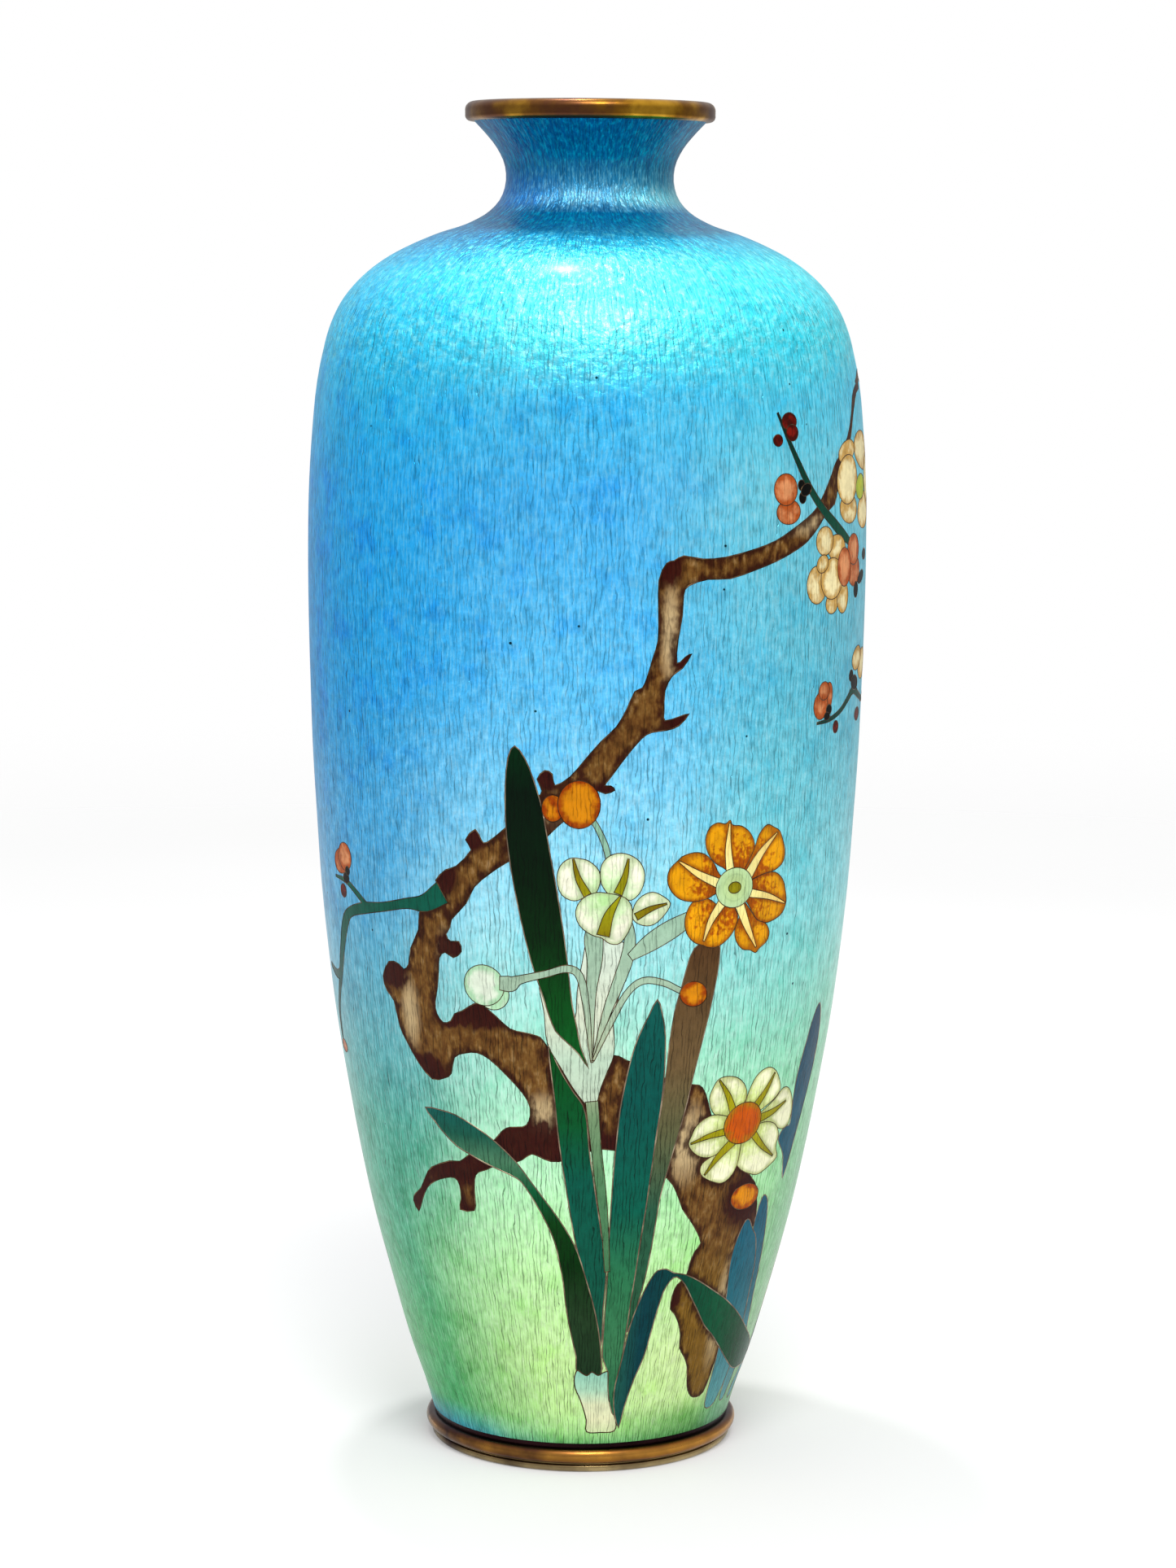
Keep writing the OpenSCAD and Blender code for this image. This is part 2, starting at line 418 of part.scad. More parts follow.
// A pointed ray from a to b, w wide at a, bowed sideways by bow
function ray(a, b, w, bow = 0) = let (
    m = mm_per_degree(a[1]),
    x = (b[0] - a[0]) * m,
    y = b[1] - a[1],
    l = norm([x, y]),
    mid = [(a[0] + b[0]) / 2 - y / l * bow / m, (a[1] + b[1]) / 2 + x / l * bow]
  ) strip([[a[0], a[1], w], [mid[0], mid[1], w * 0.7], [b[0], b[1], 0.3]]);

// --- Cells -----------------------------------------------------------------
// Each cell is [enamel node, wire node, outlines], and covers those before it.

function cells(enamel, wires, outlines) = [for (o = outlines) [enamel, wires, [o]]];
function to_centre(petals, centre) = [for (p = petals) concat(p, [centre])];
function ovals(list) = [for (v = list) oval(v[0], v[1], v[2])];

CELLS = concat(
  [["plum_branch", "branch_wires",
    [UPPER_LIMB, CROOK, LOW_TWIG, TRUNK, strip(BACK_LIMB), strip(BACK_FORK)]]],
  cells("blue_leaves", "leaf_wires",
    [smooth(BLUE_PALE), smooth(BLUE_LOWER), smooth(BLUE_UPPER), smooth(BACK_LEAF)]),
  cells("brown_leaf", "leaf_wires", [BROWN_LEAF]),
  cells("lower_blade", "leaf_wires", [LOWER_BLADE]),
  cells("curved_leaf", "leaf_wires", [CURVED_LEAF]),
  cells("bulb_sheath", "sheath_wires", [smooth(SHEATH)]),
  cells("centre_leaf", "leaf_wires", [CENTRE_LEAF]),
  cells("folded_leaf", "leaf_wires", [FOLDED_LEAF]),
  cells("spathe", "sheath_wires", [SPATHE]),
  cells("tall_leaf", "leaf_wires", [TALL_LEAF]),
  cells("white_bud", "bud_wires", ovals(WHITE_BUD)),
  [["flower_stems", "stem_wires",
    concat([for (s = STEMS) strip(s)], [strip(WHITE_BUD_STEM)])]],
  cells("white_petals", "white_flower_wires", WHITE_PETALS),
  cells("white_rays", "white_flower_wires", WHITE_RAYS),
  cells("orange_petals", "orange_flower_wires", to_centre(ORANGE_PETALS, ORANGE_CENTRE)),
  cells("orange_rays", "orange_flower_wires", ORANGE_RAYS),
  cells("orange_cup", "orange_flower_wires", [oval(ORANGE_CENTRE, [3.8, 3.5], 0, 20)]),
  cells("orange_stigma", "orange_flower_wires", [oval(ORANGE_CENTRE, [1.3, 1.0], 0)]),
  cells("orange_buds", "bud_wires", ovals(ORANGE_BUDS)),
  cells("low_petals", "low_flower_wires", to_centre(LOW_PETALS, LOW_CENTRE)),
  cells("low_rays", "low_flower_wires", LOW_RAYS),
  cells("low_cup", "low_flower_wires", [oval(LOW_CENTRE, [4.4, 3.8], 0, 20)]),
  [["green_twigs", "twig_wires",
    [for (s = [LEFT_TWIG, LEFT_SIDE_TWIG, LEFT_STUB, UPPER_TWIG, LOWER_TWIG,
      BACK_TWIG, BACK_LOW_TWIG]) strip(s)]]],
  cells("blossom_petals", "blossom_wires", ovals(BLOSSOM_PETALS)),
  cells("blossom_hearts", "blossom_wires", ovals(BLOSSOM_HEARTS)),
  cells("plum_buds", "bud_wires", ovals(PLUM_BUDS)),
  [["bud_calyxes", "bud_wires", ovals(CALYXES)]],
  cells("berries", "berry_wires", ovals(BERRIES))
);

// --- Drawing one sector of the motif flat -----------------------------------

function angles(outlines) = [for (o = outlines) for (p = o) p[0]];
function heights(outlines) = [for (o = outlines) for (p = o) p[1]];

// Lowest and highest angle and height of each cell
BOXES = [
  for (c = CELLS) [min(angles(c[2])), max(angles(c[2])), min(heights(c[2])), max(heights(c[2]))]
];

// How far a cell's own wire can reach past its outline, in degrees
margin = 1;

// Whole turns that bring angle a nearest to direction k
function turns(a, k) = 360 * round((k - a) / 360);

function in_sector(b, k) = let (t = turns((b[0] + b[1]) / 2, k) - k)
  b[0] + t < sector / 2 + margin && b[1] + t > -sector / 2 - margin;

function overlap(a, b) =
  a[0] < b[1] + margin && b[0] < a[1] + margin && a[2] < b[3] + margin && b[2] < a[3] + margin;

// Sine of the angle off direction k, carried on straight past the far side
function spread(a) = abs(a) <= 60 ? sin(a) : sign(a) * (sin(60) + (abs(a) - 60) / 60);

function radius_at(z) = lookup(z, PROFILE) * out;

module outline(i, k) {
  t = turns((BOXES[i][0] + BOXES[i][1]) / 2, k) - k;
  for (o = CELLS[i][2])
    polygon([for (p = o) [radius_at(p[1]) * spread(p[0] + t), p[1] * up]]);
}

module grown(i, k, by) {
  offset(delta = by) outline(i, k);
}

// Everything that lies over cell i
module cover(i, k) {
  for (j = [i + 1:1:len(CELLS) - 1])
    if (overlap(BOXES[i], BOXES[j])) grown(j, k, wire_t / 2);
}

// Drops slivers and leaves half the gap along every edge
module clean() {
  offset(delta = sliver) offset(delta = -sliver - wire_gap / 2) children();
}

// --- Bending it round the vase -----------------------------------------------

function along(i) = PROFILE[min(i + 1, len(PROFILE) - 1)] - PROFILE[max(i - 1, 0)];

// The outward normal [radial, up], level at both ends
function normal(i) = i == 0 || i == len(PROFILE) - 1
  ? [1, 0]
  : let (a = along(i)) [a[0], -a[1]] / norm(a);

// A point of the wall, [radius, height], at a depth below the surface
function wall_point(i, depth) =
  [PROFILE[i][1] * out - normal(i)[0] * depth, PROFILE[i][0] * up - normal(i)[1] * depth];

function wall_line(depth, last) = [for (i = [0:last]) wall_point(i, depth)];

function reversed(p) = [for (i = [len(p) - 1:-1:0]) p[i]];

// Section of the wall between two depths, up to profile point last
module wall_section(from, to, last = len(PROFILE) - 1) {
  polygon(concat(wall_line(from, last), reversed(wall_line(to, last))));
}

// A point far out from the axis in direction a
function far(a) = 2 * reach * [sin(a), -cos(a)];

// The wedge of space that sector k covers
module wedge(k) {
  linear_extrude(height) polygon([[0, 0], far(k - sector / 2), far(k + sector / 2)]);
}

// A flat drawing pushed through the wall of sector k, from the axis outwards
module pushed(k) {
  intersection() {
    wedge(k);
    rotate([0, 0, k]) rotate([90, 0, 0]) linear_extrude(reach) children();
  }
}

// The enamel as a full turn, with its seam on the side away from sector k
module enamel_ring(k) {
  rotate([0, 0, k + 90]) rotate_extrude($fn = round_fn) wall_section(0, enamel_t, motif_last);
}

// Cuts a flat drawing out of the enamel of sector k
module bend(k) {
  intersection() {
    enamel_ring(k);
    pushed(k) children();
  }
}

module enamel(name) {
  for (k = SECTORS) {
    own = [for (i = [0:len(CELLS) - 1]) if (CELLS[i][0] == name && in_sector(BOXES[i], k)) i];
    if (len(own) > 0)
      bend(k) clean() for (i = own) difference() {
        grown(i, k, -wire_t / 2);
        cover(i, k);
      }
  }
}

module wires(name) {
  for (k = SECTORS) {
    own = [for (i = [0:len(CELLS) - 1]) if (CELLS[i][1] == name && in_sector(BOXES[i], k)) i];
    if (len(own) > 0)
      bend(k) clean() for (i = own) difference() {
        grown(i, k, wire_t / 2);
        grown(i, k, -wire_t / 2);
        cover(i, k);
      }
  }
}

// The pockets that hold every cell of sector k, cut right through the wall
module pockets(k) {
  own = [for (i = [0:len(CELLS) - 1]) if (in_sector(BOXES[i], k)) i];
  if (len(own) > 0)
    pushed(k) offset(delta = wire_gap / 2) for (i = own) grown(i, k, wire_t / 2);
}

module ground_enamel() {
  color("deepskyblue") difference() {
    rotate_extrude($fn = round_fn) wall_section(0, enamel_t);
    for (k = SECTORS) pockets(k);
  }
}

// --- Copper, foil, counter enamel and mounts ----------------------------------

foil_depth = enamel_t;
copper_depth = foil_depth + foil_t;
counter_depth = copper_depth + copper_t;
bore_depth = counter_depth + counter_t;
last_point = len(PROFILE) - 1;
foot_top = wall_point(0, 0)[1];
mouth_bottom = wall_point(last_point, 0)[1];
// Length of the copper that is let into each mount
tongue = 1.8;

// A point on the straight wall stretch above the foot, at a depth and height
function foot_wall(depth, z) = let (
    a = wall_point(0, depth),
    b = wall_point(1, depth),
    t = (z - a[1]) / (b[1] - a[1])
  ) [a[0] + t * (b[0] - a[0]), z];

base_top = foot_top + copper_t;
floor_top = base_top + counter_t;
// Inside radius of the foot mount, and of the mouth mount
foot_bore = wall_point(0, counter_depth)[0] - foot_land;
mouth_bore = wall_point(last_point, bore_depth)[0] - mouth_lip_in;

module turned() {
  rotate_extrude($fn = round_fn) children();
}

module copper_body() {
  low = [wall_point(0, copper_depth), wall_point(0, counter_depth)];
  high = [wall_point(last_point, copper_depth), wall_point(last_point, counter_depth)];
  color("peru") turned() polygon(concat(
    [low[0] - [0, tongue]],
    wall_line(copper_depth, last_point),
    [high[0] + [0, tongue], high[1] + [0, tongue]],
    reversed(wall_line(counter_depth, last_point)),
    [low[1] - [0, tongue]]
  ));
}

module copper_base() {
  color("sandybrown") turned() polygon([
    [0, foot_top], foot_wall(counter_depth, foot_top),
    foot_wall(counter_depth, base_top), [0, base_top]
  ]);
}

module inner_counter_enamel() {
  color("cadetblue") turned() polygon(concat(
    [[0, base_top], foot_wall(counter_depth, base_top)],
    [for (i = [1:last_point]) wall_point(i, counter_depth)],
    [for (i = [last_point:-1:1]) wall_point(i, bore_depth)],
    [foot_wall(bore_depth, floor_top), [0, floor_top]]
  ));
}

module base_counter_enamel() {
  color("teal") turned() translate([0, foot_top - counter_t]) square([foot_bore, counter_t]);
}

module silver_foil() {
  color("gainsboro") turned() wall_section(foil_depth, copper_depth);
}

// Section of a band between two radii and two heights, with round corners
module band_section(r0, r1, z0, z1, c) {
  translate([r0 + c, z0]) square([r1 - r0 - 2 * c, z1 - z0]);
  translate([r0, z0 + c]) square([r1 - r0, z1 - z0 - 2 * c]);
  for (r = [r0 + c, r1 - c], z = [z0 + c, z1 - c])
    translate([r, z]) circle(r = c, $fn = 48);
}

// Rolled brass ring over the lip of the copper
module rim_mount() {
  slot = wall_point(last_point, counter_depth);
  rim_r = wall_point(last_point, 0)[0] + mouth_lip;
  color("darkgoldenrod") turned() difference() {
    band_section(mouth_bore, rim_r, mouth_bottom, height, rim_round);
    translate([slot[0], mouth_bottom - tongue]) square([copper_t, 2 * tongue]);
  }
}

// Turned brass ring with a bead, flat underneath
module foot_mount() {
  slot = wall_point(0, counter_depth);
  bead_r = foot_top * 0.38;
  foot_r = wall_point(0, 0)[0] + foot_lip;
  color("goldenrod") turned() difference() {
    intersection() {
      union() {
        translate([foot_r - bead_r, foot_top * 0.62]) circle(r = bead_r, $fn = 48);
        translate([foot_bore, 0]) square([foot_r - bead_r - foot_bore, foot_top]);
        band_section(foot_bore, foot_r - foot_step, 0, foot_top / 2, foot_round);
        translate([foot_bore, 0]) square([foot_land, foot_top / 2]);
      }
      translate([foot_bore, 0]) square([foot_r, foot_top]);
    }
    translate([slot[0], foot_top - tongue]) square([copper_t, 2 * tongue]);
  }
}

// --- The enamels and the wires -------------------------------------------------

module plum_branch() color("saddlebrown") enamel("plum_branch");
module green_twigs() color("darkgreen") enamel("green_twigs");
module blue_leaves() color("steelblue") enamel("blue_leaves");
module brown_leaf() color("rosybrown") enamel("brown_leaf");
module lower_blade() color("seagreen") enamel("lower_blade");
module bulb_sheath() color("beige") enamel("bulb_sheath");
module tall_leaf() color("darkgreen") enamel("tall_leaf");
module centre_leaf() color("teal") enamel("centre_leaf");
module curved_leaf() color("forestgreen") enamel("curved_leaf");
module folded_leaf() color("darkslategray") enamel("folded_leaf");
module spathe() color("honeydew") enamel("spathe");
module flower_stems() color("darkseagreen") enamel("flower_stems");
module blossom_petals() color("navajowhite") enamel("blossom_petals");
module blossom_hearts() color("yellowgreen") enamel("blossom_hearts");
module plum_buds() color("coral") enamel("plum_buds");
module bud_calyxes() color("black") enamel("bud_calyxes");
module berries() color("firebrick") enamel("berries");
module orange_petals() color("orange") enamel("orange_petals");
module orange_rays() color("wheat") enamel("orange_rays");
module orange_cup() color("palegreen") enamel("orange_cup");
module orange_stigma() color("olive") enamel("orange_stigma");
module white_petals() color("ivory") enamel("white_petals");
module white_rays() color("olive") enamel("white_rays");
module white_bud() color("ivory") enamel("white_bud");
module orange_buds() color("darkorange") enamel("orange_buds");
module low_petals() color("ivory") enamel("low_petals");
module low_rays() color("olive") enamel("low_rays");
module low_cup() color("orangered") enamel("low_cup");

module branch_wires() color("silver") wires("branch_wires");
module twig_wires() color("silver") wires("twig_wires");
module leaf_wires() color("silver") wires("leaf_wires");
module sheath_wires() color("silver") wires("sheath_wires");
module stem_wires() color("silver") wires("stem_wires");
module blossom_wires() color("silver") wires("blossom_wires");
module berry_wires() color("silver") wires("berry_wires");
module orange_flower_wires() color("silver") wires("orange_flower_wires");
module white_flower_wires() color("silver") wires("white_flower_wires");
module bud_wires() color("silver") wires("bud_wires");
module low_flower_wires() color("silver") wires("low_flower_wires");

copper_body();
copper_base();
foot_mount();
rim_mount();
inner_counter_enamel();
base_counter_enamel();
silver_foil();
ground_enamel();
plum_branch();
green_twigs();
blue_leaves();
brown_leaf();
lower_blade();
bulb_sheath();
tall_leaf();
centre_leaf();
curved_leaf();
folded_leaf();
spathe();
flower_stems();
blossom_petals();
blossom_hearts();
plum_buds();
bud_calyxes();
berries();
orange_petals();
orange_rays();
orange_cup();
orange_stigma();
white_petals();
white_rays();
white_bud();
orange_buds();
low_petals();
low_rays();
low_cup();
branch_wires();
twig_wires();
leaf_wires();
sheath_wires();
stem_wires();
blossom_wires();
berry_wires();
orange_flower_wires();
white_flower_wires();
bud_wires();
low_flower_wires();
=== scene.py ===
"""Cloisonne vase: the finished look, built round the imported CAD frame.

The picture is drawn flat, as outlines of [angle in degrees from the front, height
in mm]. A triangulation of all the outlines is labelled with the topmost cell, and
each cell is bent round the vase as its own solid slab of enamel, flush with its
neighbours, with a silver wire standing in every joint.
"""
import math

import bpy
import numpy as np
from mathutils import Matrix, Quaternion, Vector
from mathutils.geometry import delaunay_2d_cdt


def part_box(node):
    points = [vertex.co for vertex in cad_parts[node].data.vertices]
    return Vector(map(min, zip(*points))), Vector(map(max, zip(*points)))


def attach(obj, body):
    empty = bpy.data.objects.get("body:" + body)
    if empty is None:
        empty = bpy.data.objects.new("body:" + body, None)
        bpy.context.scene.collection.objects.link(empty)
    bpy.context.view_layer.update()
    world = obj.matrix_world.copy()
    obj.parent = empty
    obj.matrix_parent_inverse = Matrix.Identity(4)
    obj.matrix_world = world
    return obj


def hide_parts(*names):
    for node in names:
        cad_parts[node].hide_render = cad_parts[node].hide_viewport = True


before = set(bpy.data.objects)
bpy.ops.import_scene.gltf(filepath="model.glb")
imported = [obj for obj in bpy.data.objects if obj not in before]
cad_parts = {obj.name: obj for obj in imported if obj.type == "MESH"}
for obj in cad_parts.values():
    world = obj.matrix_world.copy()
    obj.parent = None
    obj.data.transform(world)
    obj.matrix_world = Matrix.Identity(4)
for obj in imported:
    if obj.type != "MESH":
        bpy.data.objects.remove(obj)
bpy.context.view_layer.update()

MM = 0.001

# --- The form of the vase ------------------------------------------------------

# Height and radius along the enamel surface, from foot mount to mouth mount
PROFILE = [
    [5.2, 27.0], [9, 28.1], [18, 31.2], [30, 34.6], [42, 37.8], [54, 40.4],
    [66, 42.6], [78, 44.6], [90, 46.1], [102, 47.3], [114, 48.1], [126, 48.8],
    [138, 49.2], [150, 49.5], [161, 49.6], [173, 49.4], [184, 48.7], [190, 48.1],
    [196, 47.0], [201, 45.6], [205, 43.7], [208, 41.4], [210.5, 38.8],
    [213, 35.3], [215, 31.5], [217, 26.8], [219, 21.0], [221, 17.6], [223, 15.8],
    [226, 14.8], [229, 15.0], [232, 16.4], [234.5, 18.4], [236.6, 20.4]
]
ENAMEL = 0.9  # thickness of the outer enamel, in mm
WIRE = 0.22  # width of the wire round leaves and branches, in mm
FINE_WIRE = 0.15  # width of the wire round petals, buds and stems, in mm
WIRE_STAND = 0.05  # how far a wire stands proud of the enamel, in mm


def hermite_table(points, step):
    """Heights and radii along a smooth curve through the points, about step mm apart."""
    p = np.array(points, float)
    chord = np.r_[0, np.cumsum(np.hypot(*np.diff(p, axis=0).T))]
    slope = np.gradient(p, chord, axis=0)
    t = np.linspace(0, chord[-1], int(chord[-1] / step) + 1)
    i = np.clip(np.searchsorted(chord, t, side="right") - 1, 0, len(p) - 2)
    h = (chord[i + 1] - chord[i])[:, None]
    s = ((t - chord[i])[:, None]) / h
    a, b = p[i], p[i + 1]
    ma, mb = slope[i] * h, slope[i + 1] * h
    return (
        (2 * s**3 - 3 * s**2 + 1) * a + (s**3 - 2 * s**2 + s) * ma
        + (3 * s**2 - 2 * s**3) * b + (s**3 - s**2) * mb
    )


CURVE = hermite_table(PROFILE, 0.25)
ALONG = np.r_[0, np.cumsum(np.hypot(*np.diff(CURVE, axis=0).T))]
SLOPE = np.gradient(CURVE, ALONG, axis=0)
SLOPE /= np.hypot(SLOPE[:, 0], SLOPE[:, 1])[:, None]


def length_at(z):
    """Length along the meridian, in mm, at a height in mm."""
    return np.interp(z, CURVE[:, 0], ALONG)


def height_at(s):
    return np.interp(s, ALONG, CURVE[:, 0])


def radius_at(s):
    return np.interp(s, ALONG, CURVE[:, 1])


def normal_at(s):
    """Radial and upward parts of the outward normal."""
    up = np.interp(s, ALONG, SLOPE[:, 0])
    out = np.interp(s, ALONG, SLOPE[:, 1])
    return up, -out


def mm_per_degree(z):
    return float(radius_at(length_at(z))) * math.pi / 180


def bend(flat, depth=0.0):
    """Points and normals in metres for flat points [angle, length], at a depth in mm."""
    angle = np.radians(flat[:, 0])
    radial, upward = normal_at(flat[:, 1])
    r = radius_at(flat[:, 1]) - depth * radial
    z = height_at(flat[:, 1]) - depth * upward
    around = np.c_[np.sin(angle), -np.cos(angle)]
    points = np.c_[around * r[:, None], z] * MM
    normals = np.c_[around * radial[:, None], upward]
    return points, normals


def add_object(name, data):
    obj = bpy.data.objects.new(name, data)
    bpy.context.scene.collection.objects.link(obj)
    return obj


# --- Outlines --------------------------------------------------------------------

def rounded(a, b, c, d, n):
    """n points along each stretch from b to c, with a before it and d after it."""
    steps = [0.5 * (2 * b + (c - a) * t + (2 * a - 5 * b + 4 * c - d) * t**2
                    + (3 * b - a - 3 * c + d) * t**3) for t in np.arange(n) / n]
    return np.stack(steps, 1).reshape(-1, b.shape[1])


def smooth(p, n=3):
    """A closed outline with each stretch rounded in n steps."""
    p = np.array(p, float)
    return rounded(np.roll(p, 1, 0), p, np.roll(p, -1, 0), np.roll(p, -2, 0), n)


def smooth_open(p, n=4):
    """An open route with each stretch rounded in n steps."""
    p = np.array(p, float)
    ends = np.vstack([2 * p[0] - p[1], p, 2 * p[-1] - p[-2]])
    return np.vstack([rounded(ends[:-3], ends[1:-2], ends[2:-1], ends[3:], n), p[-1:]])


def oval(c, r, tilt=0, n=28):
    """An oval about c with half-widths r in mm, turned by tilt degrees."""
    t = np.linspace(0, 2 * math.pi, n, endpoint=False)
    k = math.radians(tilt)
    x = r[0] * np.cos(t) * math.cos(k) - r[1] * np.sin(t) * math.sin(k)
    y = r[0] * np.cos(t) * math.sin(k) + r[1] * np.sin(t) * math.cos(k)
    return np.c_[c[0] + x / mm_per_degree(c[1]), c[1] + y]


def strip(route):
    """The outline of a strip that follows a route of [angle, height, width]."""
    p = smooth_open(route)
    m = np.array([mm_per_degree(z) for z in p[:, 1]])
    d = np.gradient(p[:, :2], axis=0) * np.c_[m, np.ones_like(m)]
    d /= np.hypot(d[:, 0], d[:, 1])[:, None]
    side = np.c_[-d[:, 1] / m, d[:, 0]] * p[:, 2:3] / 2
    return np.vstack([p[:, :2] + side, (p[:, :2] - side)[::-1]])


def ray(a, b, w, bow=0):
    """A pointed ray from a to b, w mm wide at a, bowed sideways by bow mm."""
    m = mm_per_degree(a[1])
    x, y = (b[0] - a[0]) * m, b[1] - a[1]
    size = math.hypot(x, y)
    mid = [(a[0] + b[0]) / 2 - y / size * bow / m, (a[1] + b[1]) / 2 + x / size * bow]
    return strip([[a[0], a[1], w], [mid[0], mid[1], w * 0.7], [b[0], b[1], 0.3]])


# Outlines, each point an angle in degrees from the front and a height.
# Right of the front is positive.

# Plum branch, from the right edge over the front to its cut ends
UPPER_LIMB = [
    [80, 192], [75, 191], [72, 189.5], [70, 186.5], [68, 184], [65, 181.5], [60, 178.5], [58, 176.5],
    [55, 173.5], [52, 171], [49, 169.5], [44, 167.5], [40, 166], [35, 164.8], [28, 163.6], [23, 163.4],
    [19, 164], [17, 163.2], [15.5, 162.8], [14, 160], [14, 155], [14, 150], [13, 147], [12, 144],
    [11, 142], [9.5, 141.4], [8, 138.5], [6, 135.5], [3, 133], [0, 130], [-3, 127], [-6, 125.5],
    [-6.5, 127.4], [-8, 128], [-9.5, 126.5], [-8.5, 124.5], [-10, 123], [-16, 118], [-20, 115.3],
    [-21.2, 115.6], [-22.5, 117.4], [-24.7, 115.5], [-23.5, 113.8], [-27, 110.8], [-29.5, 110],
    [-32, 108], [-31, 106.8], [-33, 104.5], [-36.5, 102], [-33, 96], [-30, 99.5], [-28.5, 101.5],
    [-25, 104.5], [-23, 107.5], [-19.5, 110], [-16, 112], [-10, 115], [-5.5, 118.5], [-3, 120.5],
    [1, 124], [2.5, 124.7], [4, 124.2], [5.8, 124.8], [5, 125.5], [3.8, 125.6], [5, 127], [8, 130.5],
    [11, 133.5], [13, 134.5], [16, 134.8], [18.5, 135.5], [20.5, 137.4], [18.5, 137], [15.6, 136.4],
    [15.4, 138], [15.5, 141.5], [17, 144], [19, 145.2], [20.8, 147.5], [19.5, 147], [17.8, 146],
    [18, 150], [18.8, 154], [19, 157.5], [20, 159], [24, 160], [29, 160], [35, 161.3], [40, 162.5],
    [45, 164], [49, 165.5], [53, 168], [56, 170.3], [59, 171.5], [60.5, 174], [62, 177], [66, 180],
    [69, 183], [71, 186], [73, 188], [76, 190], [80, 190.6]
]
# Heavy bend of the branch on the left, with the arm that leaves it
CROOK = [
    [-33, 104.5], [-36.5, 102], [-37, 99], [-39.5, 95.5], [-40.5, 92.5], [-42, 91.5], [-43.5, 92.3],
    [-46.5, 92.4], [-49, 89.5], [-48, 87], [-46, 85.5], [-44.8, 81], [-43, 78.5], [-40, 75],
    [-36.5, 72.5], [-33, 73], [-31, 74], [-29.8, 77], [-27, 78], [-24, 78.3], [-21, 77.3], [-17, 74.5],
    [-13.5, 71.5], [-12, 69], [-12.5, 66.5], [-14, 65.5], [-17, 65.3], [-19, 64.5], [-22, 62],
    [-25, 60.5], [-26, 57], [-23, 57.8], [-18, 58.5], [-14.5, 59.5], [-12, 60.7], [-9, 59.8],
    [-5.5, 59.5], [2, 61.5], [7.5, 61.6], [16, 59], [16, 74], [9.5, 77.8], [6.7, 78.7], [6, 77],
    [3.5, 74], [-4, 76], [-8.5, 81], [-10, 82], [-13, 82.5], [-16, 83], [-19, 85], [-22, 86.8], [-24, 87],
    [-27, 85.5], [-29, 84.8], [-30, 83.5], [-32, 83], [-33.6, 84.5], [-33.8, 86.5], [-33, 89],
    [-32.4, 92], [-32, 94.5], [-30.5, 95.6], [-28.5, 94.8], [-26.5, 96], [-27, 97.7], [-29, 97.6],
    [-30, 98.8], [-28.5, 101.5]
]
# Forked twig low on the left
LOW_TWIG = [
    [-22, 60.5], [-25, 60.8], [-28.5, 59.3], [-31, 58], [-34, 57.8], [-40, 56], [-42.5, 54], [-45, 51.5],
    [-47.5, 50.2], [-48.8, 48.8], [-47.3, 47], [-45, 49.5], [-42.5, 52], [-39.5, 53.5], [-36, 54.5],
    [-33, 54.8], [-31.8, 53.5], [-31.8, 51], [-32.5, 49], [-28.3, 49.2], [-27.8, 51.5], [-27.3, 55],
    [-26, 56.5], [-22, 57.8]
]
# Trunk from behind the leaves down to its cut foot
TRUNK = [
    [14, 74], [25, 72.8], [28, 72], [30, 69], [34, 62], [40, 58], [44, 55.5], [49, 52.5], [51, 49.5],
    [52, 47], [52, 44], [47, 43], [45.5, 40], [46, 34], [48, 29], [49.2, 22], [49, 16], [48, 12.6],
    [45, 12], [42, 12.5], [39.5, 14], [38, 16], [36.5, 19], [34.5, 21], [32, 23], [31.5, 25.5], [30, 28],
    [28, 30], [26.5, 31], [26.5, 33.5], [27.5, 35.5], [30, 37], [30.5, 39.5], [31.5, 41.5], [33, 43],
    [31, 45.5], [28.5, 47.8], [26, 50], [24, 53], [21, 56], [14, 59]
]
# Branch carried on round the back to its tip
BACK_LIMB = [
    [77, 191.3, 1.4], [84, 193, 1.7], [92, 191.5, 2.2], [99, 187, 2.8], [106, 182, 3.2],
    [113, 180.5, 2.8], [121, 183, 2.4], [129, 187, 2.0], [138, 188, 1.6], [147, 184.5, 1.2],
    [155, 179, 0.7], [160, 174, 0.4]
]
BACK_FORK = [
    [104, 183.5, 2.4], [108, 177, 2.2], [110, 170, 1.9], [116, 164, 1.6], [125, 161, 1.3],
    [134, 155, 1.0], [140, 147, 0.5]
]

# Green twigs: left, upper right, lower right, and two behind
LEFT_TWIG = [
    [-30.5, 106, 4], [-35, 103.8, 3.0], [-40, 103.3, 1.8], [-47, 102, 1.6], [-54, 101, 2.0],
    [-60, 99.6, 1.8], [-63, 97.5, 2.4], [-66, 93, 2.0], [-69, 88, 1.7], [-72.5, 83.5, 1.2],
    [-75.5, 79.5, 1.0], [-77, 74.5, 0.7]
]
LEFT_SIDE_TWIG = [[-53, 101.6, 1.2], [-57, 103.6, 1.0], [-61, 105, 0.9], [-66.5, 105.3, 0.4]]
LEFT_STUB = [[-69.5, 87.5, 1.6], [-73, 86.8, 1.6], [-79, 87.8, 0.8]]
UPPER_TWIG = [
    [41.2, 187.4, 0.4], [43.5, 183.5, 0.7], [46.5, 179, 1.1], [50, 174.5, 1.4], [54, 171, 1.6],
    [59, 168, 1.9], [63, 166, 1.8], [67, 164.3, 1.2]
]
